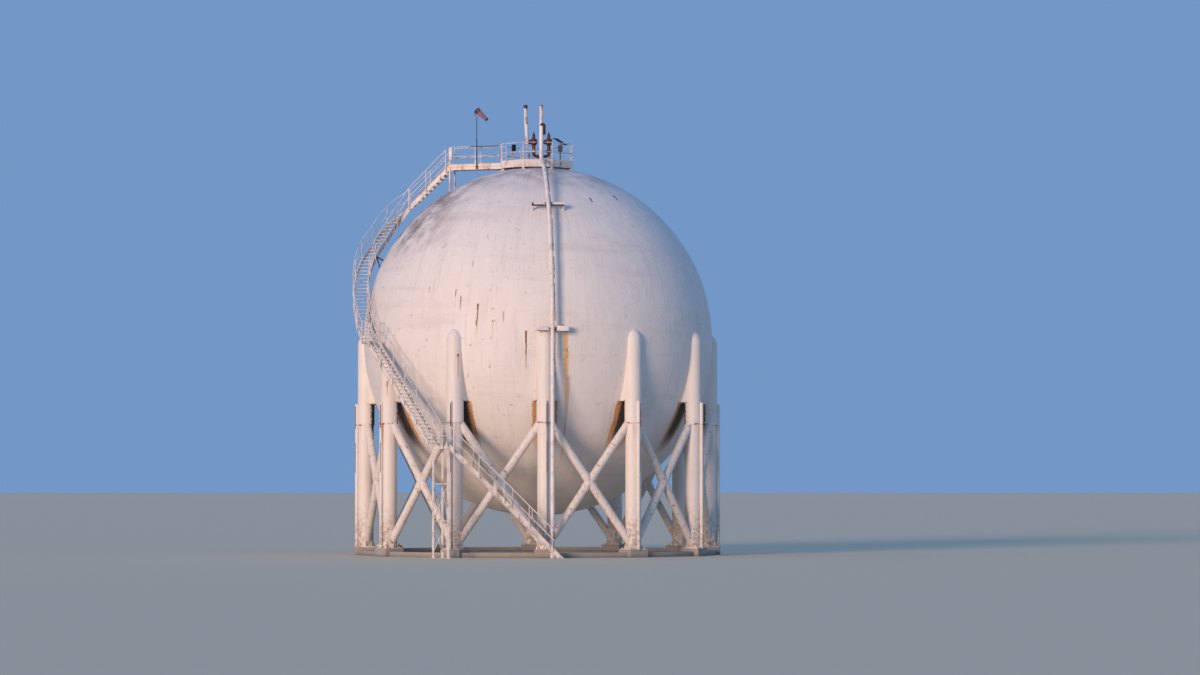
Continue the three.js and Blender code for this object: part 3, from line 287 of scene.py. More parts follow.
foundation = bmesh.new()
turned(foundation, [
    (RING_INNER, 0), (RING_OUTER, 0), (RING_OUTER, RING_TOP - CHAMFER), (RING_OUTER - CHAMFER, RING_TOP),
    (RING_INNER + CHAMFER, RING_TOP), (RING_INNER, RING_TOP - CHAMFER), (RING_INNER, 0),
], AXIS, 120)
for number in range(COLUMN_COUNT):
    bearing = number * BAY_ANGLE
    middle = polar(bearing, COLUMN_CIRCLE, PEDESTAL_TOP / 2)
    slab(foundation, middle, (PEDESTAL, PEDESTAL, PEDESTAL_TOP), bearing, CHAMFER)
keep("ring_beam", foundation, concrete, ["foundation_ring"])

# Columns: twelve steel tubes in sprayed foam. From a drip ring at 7 m up, each has a thicker clad
# head with a domed top, joined to the shell by a web of side sheets over foam, and a riser pipe runs
# up its outer face. Each stands on a base plate with gussets, held down by four anchor bolts.
GAP = 0.0003
COLUMN_RADIUS = 0.415
CLAD_RADIUS = 0.45
COLLAR = 7.0
DOME_START = 11.2
DOME_RISE = 0.66
BASE_PLATE = 1.0
BASE_THICKNESS = 0.05
GUSSET_HEIGHT = 0.32
WEB_BOTTOM = 8.19
FOAM_BOTTOM = 8.2
WEB_FRONT = (0.43, 9.32)
WEB_BACK = (0.5, 8.46)
SHEET_STEEL = 0.02
RISER_OFFSET = 0.495
RISER_RADIUS = 0.095
RISER_TOP = 8.1
RISER_CLIPS = (1.4, 2.8, 4.2, 5.6, 6.6, 7.7)
DRIP_RING = 0.462
GUSSET_REACH = 0.49
GUSSET_STEEL = 0.016
ANCHOR_OFFSET = 0.41
ANCHOR_BOLT = 0.034
# Outline of a web's side sheet: share of the way in to the shell, and height
WEB_OUTLINE = (
    (0, WEB_BOTTOM), (0.28, WEB_BOTTOM - 0.06), (0.56, WEB_BOTTOM - 0.17), (0.68, WEB_BOTTOM - 0.06),
    (0.53, 8.55), (0.386, 9.0), (0.25, 9.5), (0.131, 10.0), (0.06, 10.6), (0.0, 11.1),
)


def up(height):
    """Straight up by a height"""
    return Vector((0, 0, height))


def plate(shape, corners, thickness):
    """A flat plate from its corners, given a thickness vector"""
    face = shape.faces.new([shape.verts.new(corner) for corner in corners])
    grown = bmesh.ops.extrude_face_region(shape, geom=[face])["geom"]
    bmesh.ops.translate(
        shape, vec=thickness, verts=[part for part in grown if isinstance(part, bmesh.types.BMVert)]
    )


def rod(shape, start, end, radius, sides=12, tip=None):
    """A straight round bar between two points, tapered if its tip has a radius of its own"""
    along = end - start
    place = Matrix.Translation((start + end) / 2) @ along.to_track_quat("Z", "Y").to_matrix().to_4x4()
    bmesh.ops.create_cone(
        shape, cap_ends=True, segments=sides, radius1=radius, radius2=radius if tip is None else tip,
        depth=along.length, matrix=place,
    )


def anchor_bolt(shape, foot, size):
    """A stud with a hexagonal nut on it"""
    rod(shape, foot, foot + up(size * 1.1), size, 6)
    rod(shape, foot, foot + up(size * 2.2), size * 0.5, 8)


def four_bolts(shape, middle, offset, size):
    """An anchor bolt at each corner of a base plate"""
    for across in (-offset, offset):
        for out in (-offset, offset):
            anchor_bolt(shape, middle + Vector((across, out, 0)), size)


def column():
    """The column at the front, which is turned round the axis for the others"""
    shape = bmesh.new()
    heart = at(0, COLUMN_CIRCLE, 0)
    foot = PEDESTAL_TOP + GAP
    plate_top = foot + BASE_THICKNESS
    dome = []
    for lift in range(10, 90, 10):
        turn = math.radians(lift)
        dome.append((CLAD_RADIUS * math.cos(turn), DOME_START + DOME_RISE * math.sin(turn)))
    turned(shape, [
        (0, plate_top), (COLUMN_RADIUS, plate_top), (COLUMN_RADIUS, COLLAR - 0.05), (0.43, COLLAR - 0.03),
        (DRIP_RING, COLLAR - 0.03), (0.466, COLLAR), (DRIP_RING, COLLAR + 0.03),
        (CLAD_RADIUS, COLLAR + 0.05), (CLAD_RADIUS, 8.2), (CLAD_RADIUS, 9.2), (CLAD_RADIUS, 10.2),
        (CLAD_RADIUS, DOME_START), *dome, (0, DOME_START + DOME_RISE),
    ], heart, 32)
    slab(shape, heart + up(foot + BASE_THICKNESS / 2), (BASE_PLATE, BASE_PLATE, BASE_THICKNESS), 0, 0.004)
    for corner in range(8):
        turn = math.radians(corner * 45)
        out = Vector((math.cos(turn), math.sin(turn), 0))
        near, far = heart + out * (COLUMN_RADIUS - 0.01), heart + out * GUSSET_REACH
        side = Vector((-out.y, out.x, 0)) * GUSSET_STEEL
        low, high = up(plate_top), up(plate_top + GUSSET_HEIGHT)
        plate(shape, [near + low - side / 2, far + low - side / 2, near + high - side / 2], side)
    four_bolts(shape, at(0, COLUMN_CIRCLE, plate_top), ANCHOR_OFFSET, ANCHOR_BOLT)
    # The web's foam stops a little above the lower corners of the sheets at its sides
    (front_half, front_out), (back_half, back_out) = WEB_FRONT, WEB_BACK
    plate(shape, [
        at(-front_half, front_out, FOAM_BOTTOM), at(-back_half, back_out + 0.2, FOAM_BOTTOM),
        at(back_half, back_out + 0.2, FOAM_BOTTOM), at(front_half, front_out, FOAM_BOTTOM),
    ], up(DOME_START - FOAM_BOTTOM))
    for hand in (-1, 1):
        outline = []
        for share, height in WEB_OUTLINE:
            flare = 0.07 if height < WEB_BOTTOM - 0.1 else 0
            half = front_half + (back_half - front_half) * share + flare
            outline.append(at(hand * half, front_out + (back_out - front_out) * share, height))
        plate(shape, outline, Vector((hand * SHEET_STEEL, 0, 0)))
    reach = COLUMN_CIRCLE + RISER_OFFSET
    turned(shape, [
        (0, foot), (RISER_RADIUS + 0.05, foot), (RISER_RADIUS + 0.05, foot + 0.02),
        (RISER_RADIUS, foot + 0.02), (RISER_RADIUS, RISER_TOP - 0.03), (RISER_RADIUS - 0.03, RISER_TOP),
        (0, RISER_TOP),
    ], at(0, reach, 0), 16)
    for height in RISER_CLIPS:
        turned(shape, [
            (RISER_RADIUS, height), (RISER_RADIUS + 0.01, height), (RISER_RADIUS + 0.01, height + 0.05),
            (RISER_RADIUS, height + 0.05), (RISER_RADIUS, height),
        ], at(0, reach, 0), 16)
        slab(shape, at(0, reach - 0.06, height + 0.025), (0.25, 0.1, 0.03))
    return shape


def new_group(name, inputs, outputs):
    """A shader node group, its inputs as wires and its output sockets. An input that is given as
    None is a place, one that is given as three numbers is a colour, and so is the output Color."""
    group = bpy.data.node_groups.new(name, "ShaderNodeTree")
    kinds = {type(None): "NodeSocketVector", tuple: "NodeSocketColor", float: "NodeSocketFloat"}
    for label, value in inputs.items():
        socket = group.interface.new_socket(label, in_out="INPUT", socket_type=kinds[type(value)])
        if value is not None:
            socket.default_value = (*value, 1) if type(value) is tuple else value
    for label in outputs:
        kind = kinds[tuple if label == "Color" else float]
        group.interface.new_socket(label, in_out="OUTPUT", socket_type=kind)
    wires = {socket.name: Wire(socket) for socket in group.nodes.new("NodeGroupInput").outputs}
    return group, wires, group.nodes.new("NodeGroupOutput").inputs


def use_group(group, **inputs):
    """The outputs of a node group placed in the tree of its inputs"""
    return put("ShaderNodeGroup", inputs, node_tree=group)


def from_centre_of(place):
    """The place seen from the middle of the sphere"""
    return put("ShaderNodeVectorMath", {0: place, 1: CENTRE}, operation="SUBTRACT")[0]


# Marks that rain leaves: fine and broad streaks down from the crown, with the bearing from the
# front in degrees, the reach from the axis and the height that other marks are placed by
rain_marks, marks, marks_out = new_group(
    "rain_marks", {"Place": None, "Fineness": 90.0, "Run": 0.3},
    ("Fine", "Broad", "Bearing", "Reach", "Height")
)
parts = split(marks["Place"])
flat = put("ShaderNodeCombineXYZ", {"X": parts["X"], "Y": parts["Y"]})[0]
way = split(put("ShaderNodeVectorMath", {0: flat}, operation="NORMALIZE")[0])
for label, share, detail in (("Fine", 1.0, 5), ("Broad", 0.16, 6)):
    spread = marks["Fineness"] * share
    lane = {"X": way["X"] * spread, "Y": way["Y"] * spread, "Z": parts["Z"] * marks["Run"]}
    link(noise(put("ShaderNodeCombineXYZ", lane)[0], 1.0, detail, 0.6), marks_out[label])
link(maths("ARCTAN2", parts["X"], parts["Y"] * -1.0) * (180 / math.pi), marks_out["Bearing"])
link(put("ShaderNodeVectorMath", {0: flat}, operation="LENGTH")["Value"], marks_out["Reach"])
link(parts["Z"], marks_out["Height"])

# One run of rust: ragged, widest at its top, fading at its foot
crack_run, crack, crack_out = new_group(
    "crack_run",
    {"Bearing": 0.0, "Height": 0.0, "Ragged": 0.5, "At": 0.0, "Top": 0.0, "Length": 1.0, "Width": 0.3},
    ("Mask",),
)
wander = (crack["Ragged"] - 0.5) * 1.2
aside = crack["Bearing"] - crack["At"] + wander * crack["Width"]
down = (crack["Top"] - crack["Height"]) / crack["Length"]
spread = crack["Width"] * maths("MAXIMUM", 1.0 - down * 0.6, 0.05)
core = 1.0 - maths("ABSOLUTE", aside) / spread
ends = ease(down, -0.02, 0.03) * ease(down, 1.0, 0.7)
body = ease(core + crack["Ragged"], 0.6, 1.1)
link(body * ends, crack_out["Mask"])

RUST = (0.27, 0.062, 0.018)
OLD_RUST = (0.12, 0.035, 0.016)
OCHRE = (0.58, 0.28, 0.11)
ORANGE = (0.74, 0.4, 0.12)
GREY_DIRT = (0.28, 0.24, 0.23)
# Near-black: soot for dark marks high on the shell, and painted shade in the gaps beside the columns
SOOT_AND_SHADE = (0.018, 0.014, 0.012)
CENTRE = Vector((AXIS.x, AXIS.y, EQUATOR))


def stained(white, rain, ragged, runs):
    """The coat's colour with runs of rust on it: bearing, top, length, width, shade and share"""
    for bearing, top, length, width, shade, share in runs:
        run = use_group(
            crack_run, Bearing=rain["Bearing"], Height=rain["Height"], Ragged=ragged, At=bearing, Top=top,
            Length=length, Width=width,
        )["Mask"]
        white = blend(run * share, white, shade)
    return white


column_coat, shader, place = new_material("column_coat")
from_centre = from_centre_of(place)
rain = use_group(rain_marks, Place=from_centre, Fineness=150.0, Run=0.5)
ragged = noise(from_centre, 6.0, 6, 0.7)
grain = noise(from_centre, 16.0, 5, 0.65)
white = blend(noise(from_centre, 0.9, 5), (0.73, 0.68, 0.635), (0.82, 0.78, 0.74))
white = blend(ease(rain["Fine"], 0.5, 0.75) * 0.3, white, (0.5, 0.44, 0.4))
grime = ease(rain["Height"], -8.2, -11.0) * ease(ragged, 0.35, 0.7)
white = blend(grime, white, (0.28, 0.2, 0.14))
# Rust dashes under the drip ring
ring_edge = maths("ABSOLUTE", rain["Height"] + 4.53)
dashes = ease(ring_edge, 0.08, 0.02) * ease(ragged, 0.5, 0.56)
drips = ease(rain["Height"], -4.5, -4.53) * ease(rain["Height"], -6.4, -4.6)
drips = drips * ease(rain["Fine"], 0.56, 0.68)
white = blend(drips * 0.6, white, OCHRE)
white = blend(dashes, white, RUST)
# Bare rusty steel shows on the side that faces the shell, below the web, mottled with near-black
# painted shade where that gap lies in shade
inner = rain["Reach"] + (ragged - 0.5) * 0.5
inner = ease(inner, 9.06, 8.94) * ease(rain["Height"], -3.34, -3.42)
inner = inner * ease(rain["Height"], -5.6, -4.6)
white = blend(inner * 0.95, white, blend(ease(ragged, 0.5, 0.6), SOOT_AND_SHADE, OLD_RUST))
white = stained(white, rain, ragged, (
    (-27.9, -1.0, 1.4, 0.34, OCHRE, 0.5), (-28.0, -0.97, 0.24, 0.42, OCHRE, 0.9),
    (-28.0, -0.98, 0.17, 0.26, OLD_RUST, 0.95), (-58.1, -2.3, 0.9, 0.4, OCHRE, 0.6),
    (-58.1, -2.3, 0.35, 0.32, RUST, 0.75), (31.6, -3.9, 1.1, 0.35, RUST, 0.7),
    (92.0, -0.9, 1.6, 0.5, RUST, 0.7), (148.0, -1.4, 1.9, 0.5, OCHRE, 0.8),
    (-152.0, -0.7, 1.3, 0.5, RUST, 0.7),
))
surface(shader, white, ragged * 0.25 + 0.45, ragged + grain * 0.3, 0.5, 0.03)

front_column = as_mesh(column(), "front_column")
for number in range(COLUMN_COUNT):
    shape = bmesh.new()
    shape.from_mesh(front_column)
    shape.transform(about_axis(number * BAY_ANGLE))
    keep(f"column_{number + 1}", shape, column_coat, [f"leg_{number + 1}"])

# A narrow strip in two lengths down the right side of each riser, in rust colours: partly rust on
# the riser, partly painted shade of the gap between the riser and the column
riser_shade_and_rust, shader, place = new_material("riser_strip_shade_and_rust")
surface(shader, blend(noise(place, 14.0, 6, 0.7), OLD_RUST, RUST), 0.85, noise(place, 40.0, 4), 0.7, 0.01)
shade_and_rust_strips = bmesh.new()
for number in range(COLUMN_COUNT):
    slit = bmesh.new()
    slab(slit, at(0.055, COLUMN_CIRCLE + RISER_OFFSET + 0.075, 7.36), (0.045, 0.035, 1.2), 35, 0.006)
    slab(slit, at(0.06, COLUMN_CIRCLE + RISER_OFFSET + 0.07, 5.2), (0.03, 0.03, 1.6), 35, 0.006)
    slit.transform(about_axis(number * BAY_ANGLE))
    shade_and_rust_strips.from_mesh(as_mesh(slit, "slit"))
keep("riser_shade_and_rust_strips", shade_and_rust_strips, riser_shade_and_rust)

# Crossed pipes: two foamed tubes in each bay, from under one column's clad head to the next one's
# foot. Where they cross, each carries a foam collar with tapered ends.
BRACE_RADIUS = 0.21
BRACE_TOP = 7.35
BRACE_BOTTOM = 0.5
COLLAR_HALF = 0.42
COLLAR_TAPER = 0.05
CROSS_COLLAR = BRACE_RADIUS + 0.025
brace_coat, shader, place = new_material("brace_coat")
from_centre = from_centre_of(place)
rain = use_group(rain_marks, Place=from_centre, Fineness=140.0, Run=0.9)
ragged = noise(from_centre, 5.0, 6, 0.7)
white = blend(noise(from_centre, 0.8, 5), (0.66, 0.61, 0.57), (0.8, 0.77, 0.74))
white = blend(ease(rain["Fine"], 0.5, 0.72) * 0.5, white, (0.42, 0.35, 0.3))
patches = ease(ragged, 0.62, 0.68)
white = blend(ease(ragged, 0.55, 0.63) * 0.5, white, OCHRE)
white = blend(patches, white, RUST)
surface(shader, white, ragged * 0.3 + 0.45, ragged - patches, 0.5, 0.03)
for number in range(COLUMN_COUNT):
    shape = bmesh.new()
    for high_end, low_end in ((number, number + 1), (number + 1, number)):
        high = polar(high_end * BAY_ANGLE, COLUMN_CIRCLE, BRACE_TOP)
        low = polar(low_end * BAY_ANGLE, COLUMN_CIRCLE, BRACE_BOTTOM)
        along = (low - high).normalized()
        rod(shape, high + along * 0.25, low - along * 0.4, BRACE_RADIUS, 24)
        crossing = (high + low) / 2
        start, end = crossing - along * COLLAR_HALF, crossing + along * COLLAR_HALF
        rod(shape, start, end, CROSS_COLLAR, 24)
        rod(shape, start - along * COLLAR_TAPER, start, BRACE_RADIUS, 24, CROSS_COLLAR)
        rod(shape, end, end + along * COLLAR_TAPER, CROSS_COLLAR, 24, BRACE_RADIUS)
    keep(f"crossed_pipes_{number + 1}", shape, brace_coat, [f"cross_brace_{number + 1}"])

# Shell: steel plate under sprayed foam with a white coat, streaked by rain from the crown down,
# cracked in places so that rust runs out, and stained below each column's web, with painted shade in
# the gap beside each column. It is made in the same caps and segments as the frame's, each an arc
# spun round the axis.
CAP_LATITUDE = 52.5
SEGMENT_START = -15
SEGMENT_COUNT = 3
ARC_STEP = 2.5
WALL = 0.18

coat, shader, place = new_material("shell_coat")
from_centre = from_centre_of(place)
rain = use_group(rain_marks, Place=from_centre, Fineness=95.0, Run=0.35)
cloud = noise(from_centre, 0.32, 6)
grain = noise(from_centre, 7.0, 6, 0.65)
ragged = noise(from_centre, 5.0, 5, 0.7)

white = blend(cloud, (0.73, 0.685, 0.66), (0.81, 0.785, 0.765))
patches = ease(noise(from_centre, 0.55, 4), 0.42, 0.62)
streaks = patches * ease(rain["Height"], 8.8, 6.0)
fine_dirt = ease(rain["Fine"], 0.5, 0.78) * (streaks * 0.3 + 0.08)
white = blend(fine_dirt, white, (0.46, 0.41, 0.39))
pale = ease(rain["Fine"], 0.42, 0.26) * (streaks * 0.3 + 0.06)
white = blend(pale, white, (0.86, 0.85, 0.84))
below_crown = ease(rain["Height"], 9.0, 7.2) * 0.3
broad_dirt = ease(rain["Broad"], 0.48, 0.75) * below_crown
white = blend(broad_dirt, white, (0.58, 0.54, 0.52))

# The foam was sprayed in level rounds, so its coat is banded a little, and knocks have left scuffs
level = put("ShaderNodeVectorMath", {0: from_centre, 1: (0.22, 0.22, 1.5)}, operation="MULTIPLY")[0]
rounds = noise(level, 1.0, 5, 0.6)
white = blend(ease(rounds, 0.52, 0.72) * 0.3, white, (0.55, 0.5, 0.48))
scuffs = ease(noise(from_centre, 2.6, 3, 0.5), 0.65, 0.72) * ease(grain, 0.4, 0.6)
to_left = ease(rain["Bearing"], 10.0, -30.0) * 0.35 + 0.3
white = blend(scuffs * to_left, white, (0.34, 0.3, 0.29))

# Soot and dirt lie thickest under the stair, on the left shoulder, and round the crown
shoulder = ease(rain["Bearing"], -32.0, -66.0) * ease(rain["Bearing"], -150.0, -110.0)
shoulder = shoulder * (ease(rain["Height"], 3.6, 5.6) * ease(rain["Height"], 9.3, 8.4))
crown = ease(rain["Height"], 7.4, 9.0) * 0.6
sooty = maths("MAXIMUM", shoulder, crown)
blots = noise(from_centre, 0.85, 7, 0.66)
mottled = blots + rain["Fine"] * 0.5
sooty = sooty * ease(mottled, 0.6, 0.9)
white = blend(sooty * 0.95, white, (0.2, 0.15, 0.145))
smudge = ease(ragged * rain["Fine"], 0.3, 0.46) * 0.4
white = blend(smudge, white, (0.4, 0.37, 0.36))

# Cracks that rust runs from: bearing, top above the equator, length, width in degrees, and shade
white = stained(white, rain, ragged, (
    (-30.2, 2.42, 0.5, 0.3, OLD_RUST, 0.85), (-28.1, 2.08, 0.9, 0.42, OCHRE, 0.5),
    (-28.1, 2.02, 0.75, 0.3, RUST, 0.95), (-21.9, 1.66, 1.7, 0.6, OCHRE, 0.6),
    (-21.9, 1.62, 0.6, 0.42, OLD_RUST, 1.0), (-22.0, 1.12, 0.5, 0.36, RUST, 0.9),
    (-22.2, 0.75, 0.35, 0.34, OLD_RUST, 0.9), (-13.3, 1.22, 0.7, 0.4, GREY_DIRT, 0.7),
    (-16.8, 0.76, 0.12, 0.3, OLD_RUST, 0.9), (-16.8, 0.7, 1.0, 0.5, OCHRE, 0.35),
    (-17.3, -0.12, 0.14, 0.26, OLD_RUST, 0.8), (-41.0, 2.6, 0.4, 0.5, GREY_DIRT, 0.6),
    (-25.5, 3.9, 0.35, 0.3, GREY_DIRT, 0.9), (-6.1, 0.24, 2.3, 0.6, OCHRE, 0.7),
    (-6.1, 0.2, 1.6, 0.38, OLD_RUST, 1.0), (6.45, 0.1, 2.4, 1.3, ORANGE, 0.8),
    (6.9, -0.8, 3.4, 1.1, ORANGE, 0.65), (7.6, -2.1, 5.0, 1.0, OCHRE, 0.5),
    (6.9, -0.72, 0.2, 0.3, OLD_RUST, 0.9), (6.95, -1.08, 0.16, 0.24, OLD_RUST, 0.8),
    (25.6, 7.38, 0.28, 1.1, SOOT_AND_SHADE, 0.7), (43.8, 7.62, 0.32, 1.3, SOOT_AND_SHADE, 0.8),
    (37.0, 7.8, 0.18, 1.6, OCHRE, 0.5), (98.0, 2.8, 1.3, 0.5, RUST, 0.8),
    (141.0, 0.9, 1.6, 0.6, RUST, 0.85), (167.0, 3.1, 0.9, 0.4, OLD_RUST, 0.7),
    (-133.0, 1.6, 1.4, 0.5, RUST, 0.85),
))

# Below each column's web the coat is open, and orange runs down the shell behind the column.
# Nearest the column it goes over to near-black painted shade, for the shaded gap between column
# and shell.
bay = maths("PINGPONG", rain["Bearing"], BAY_ANGLE / 2)
near_column = bay + (ragged - 0.5) * 2.4
behind = ease(near_column, 4.7, 4.1) * ease(rain["Height"], -3.36, -3.44)
behind = behind * ease(rain["Height"], -6.4, -4.8)
orange = blend(ease(ragged, 0.5, 0.66), (0.6, 0.29, 0.1), (0.3, 0.08, 0.03))
orange = blend(ease(near_column, 2.9, 2.1), orange, SOOT_AND_SHADE)
white = blend(behind * 0.95, white, orange)

lumps = cloud * 1.6 + grain * 0.12 + rounds * 0.3 - scuffs * 0.1
surface(shader, white, rain["Broad"] * 0.2 + 0.5, lumps, 0.6, 0.12)


def shell_piece(name, node, low, high, start, sweep):
    """An arc from one latitude to another, spun from one bearing through an angle, given its wall"""
    shape = bmesh.new()
    first = CENTRE + Matrix.Rotation(math.radians(-low), 3, "Y") @ Vector((SHELL_RADIUS, 0, 0))
    rise = round((high - low) / ARC_STEP)
    spun(shape, [shape.verts.new(first)], CENTRE, (0, 1, 0), -math.radians(high - low), rise, False)
    facing = Matrix.Rotation(math.radians(start - 90), 3, "Z")
    bmesh.ops.rotate(shape, verts=shape.verts, cent=CENTRE, matrix=facing)
    arc, full = shape.verts[:] + shape.edges[:], sweep == 360
    spun(shape, arc, CENTRE, (0, 0, 1), math.radians(sweep), round(sweep / ARC_STEP), full)
    bmesh.ops.remove_doubles(shape, verts=shape.verts, dist=1e-4)
    outer = shape.faces[:]
    for face in outer:
        if face.normal.dot(face.calc_center_median() - CENTRE) < 0:
            face.normal_flip()
    bmesh.ops.solidify(shape, geom=outer, thickness=WALL)
    piece = keep(name, shape, coat, [node])
    mesh = piece.data
    round_normals = []
    for face in mesh.polygons:
        on_outside = all(
            abs((mesh.vertices[i].co - CENTRE).length - SHELL_RADIUS) < 1e-3 for i in face.vertices
        )
        for i in face.vertices:
            away = (mesh.vertices[i].co - CENTRE).normalized()
            round_normals.append(away if on_outside else face.normal.copy())
    mesh.normals_split_custom_set(round_normals)
    return piece


shell_piece("crown_coat", "crown_cap", CAP_LATITUDE, 90, 0, 360)
shell_piece("bottom_coat", "bottom_cap", -90, -CAP_LATITUDE, 0, 360)
SEGMENT_ANGLE = 360 / SEGMENT_COUNT
for number in range(SEGMENT_COUNT):
    start = SEGMENT_START + number * SEGMENT_ANGLE
    shell_piece(
        f"upper_coat_{number + 1}", f"upper_belt_{number + 1}", 0, CAP_LATITUDE, start, SEGMENT_ANGLE
    )
    shell_piece(
        f"lower_coat_{number + 1}", f"lower_belt_{number + 1}", -CAP_LATITUDE, 0, start, SEGMENT_ANGLE
    )

# Stair, bottom flight and middle landing: channel stringers with grating treads bolted between
# them. The landing is an angle-framed grating on four square posts, tied by diagonal angles.
STAIR_WIDTH = 0.76
STRINGER_DEPTH = 0.25
FLANGE = 0.06
CHANNEL_STEEL = 0.009
ABOVE_TREAD = 0.1
TREAD_RUN_EXTRA = 0.03
EQUATOR_LANDING = 11.3
MIDDLE_LANDING = 5.7
LANDING_DEPTH = 0.12
DECK = 21.05
BAR_PITCH = 0.04
BAR_DEPTH = 0.035
BAR_STEEL = 0.005
ROD_PITCH = 0.1
ROD_STEEL = 0.007
ROD_DROP = 0.0005
# A grating's bars along X and the rods along Y that tie them: pitch, width, depth, how far their tops
# lie below the deck's, and whether they lie along Y
GRATING = ((BAR_PITCH, BAR_STEEL, BAR_DEPTH, 0, False), (ROD_PITCH, ROD_STEEL, ROD_STEEL, ROD_DROP, True))
TREAD_BAR = 0.034
NOSING = 0.032
NOSING_LIP = 0.04
NOSING_STEEL = 0.006
END_PLATE = (0.007, 0.05)
TREAD_BOLT = (0.02, 0.014, 0.02)
LOWER_HEADING = Vector((0.588, -0.809, 0)).normalized()
lower_top = at(-8.908, 5.257, EQUATOR_LANDING)
lower_foot = lower_top + LOWER_HEADING * (EQUATOR_LANDING - MIDDLE_LANDING)
lower_foot.z = MIDDLE_LANDING
bottom_top = at(-4.95, 10.6, MIDDLE_LANDING)
bottom_foot = bottom_top + Vector((MIDDLE_LANDING, 0, -MIDDLE_LANDING))


def turn_of(way):
    """The heading of a way seen from above, in degrees"""
    return math.degrees(math.atan2(way.y, way.x))


def stations(path, right=None, closed=False):
    """Where a section stands at each point of a path: its X to the right, its Y square to the
    slope, mitred at a turn. A path that is upright somewhere is given its way to the right."""
    places = []
    count = len(path)
    for i, point in enumerate(path):
        before = path[i - 1] if i or closed else None
        after = path[(i + 1) % count] if i < count - 1 or closed else None
        into = (point - before).normalized() if before else (after - point).normalized()
        away = (after - point).normalized() if after else into
        along = (into + away).normalized()
        across = (right or along.cross(up(1))).normalized()
        upward = across.cross(along).normalized()
        place = Matrix((across, upward, along)).transposed()
        axle = into.cross(away)
        if axle.length > 1e-4:
            thrown = along.cross(axle).normalized()
            grow = 1 / max(along.dot(into), 0.3) - 1
            place = Matrix(
                [[(row == col) + grow * thrown[row] * thrown[col] for col in range(3)] for row in range(3)]
            ) @ place
        places.append(Matrix.Translation(point) @ place.to_4x4())
    return places


def drawn(shape, section, places, closed=False):
    """Draws a section of (right, above) pairs along its stations, and closes its ends"""
    ring = [shape.verts.new(places[0] @ Vector((right, above, 0))) for right, above in section]
    first = [shape.edges.new(pair) for pair in zip(ring, ring[1:] + ring[:1])]
    edges = first
    for before, after in zip(places, places[1:]):
        made = bmesh.ops.extrude_edge_only(shape, edges=edges)["geom"]
        moved = {part for part in made if isinstance(part, bmesh.types.BMVert)}
        edges = [part for part in made if isinstance(part, bmesh.types.BMEdge) and set(part.verts) <= moved]
        bmesh.ops.transform(shape, matrix=after @ before.inverted(), verts=list(moved))
    if closed:
        bmesh.ops.bridge_loops(shape, edges=first + edges)
    else:
        for end in (first, edges):
            bmesh.ops.contextual_create(shape, geom=end)


def round_section(radius, sides):
    """A circle of (right, above) pairs"""
    return [(radius * math.cos(2 * math.pi * i / sides), radius * math.sin(2 * math.pi * i / sides))
            for i in range(sides)]


def channel(hand, middle, low, high, flange=FLANGE, steel=CHANNEL_STEEL):
    """A channel's section: its web on the inner side, its flanges reaching outwards"""
    inner, outer = middle - flange / 2, middle + flange / 2
    return [(hand * right, above) for right, above in (
        (inner, low), (outer, low), (outer, low + steel), (inner + steel, low + steel),
        (inner + steel, high - steel), (outer, high - steel), (outer, high), (inner, high),
    )]


def tread(shape, heart, heading, run):
    """A grating tread: an angle nosing, six bars behind it tied by thin rods, and bolted end plates"""
    width = STAIR_WIDTH - 2 * FLANGE + 0.002
    depth = run + TREAD_RUN_EXTRA
    turn = turn_of(heading)
    place = Matrix.Rotation(math.radians(turn), 3, "Z")

    def spot(ahead, aside, down):
        return heart + place @ Vector((ahead, aside, -down))

    front = depth / 2
    slab(shape, spot(front - NOSING / 2, 0, NOSING_STEEL / 2), (NOSING, width, NOSING_STEEL), turn)
    slab(shape, spot(front - NOSING_STEEL / 2, 0, NOSING_LIP / 2), (NOSING_STEEL, width, NOSING_LIP), turn)
    for i in range(6):
        ahead = 0.004 - front + i * (depth - 0.04) / 5.5
        slab(shape, spot(ahead, 0, 0.022), (BAR_STEEL, width, TREAD_BAR), turn)
    for i in range(5):
        slab(shape, spot(-0.01, (i - 2) * width / 5, 0.008), (depth - 0.03, ROD_STEEL, ROD_STEEL), turn)
    for hand in (-1, 1):
        slab(shape, spot(0, hand * (width / 2 - 0.004), 0.026), (depth * 0.9, *END_PLATE), turn)
        for ahead in (-0.3, 0.3):
            slab(shape, spot(ahead * depth, hand * (width / 2 - 0.012), 0.034), TREAD_BOLT, turn)


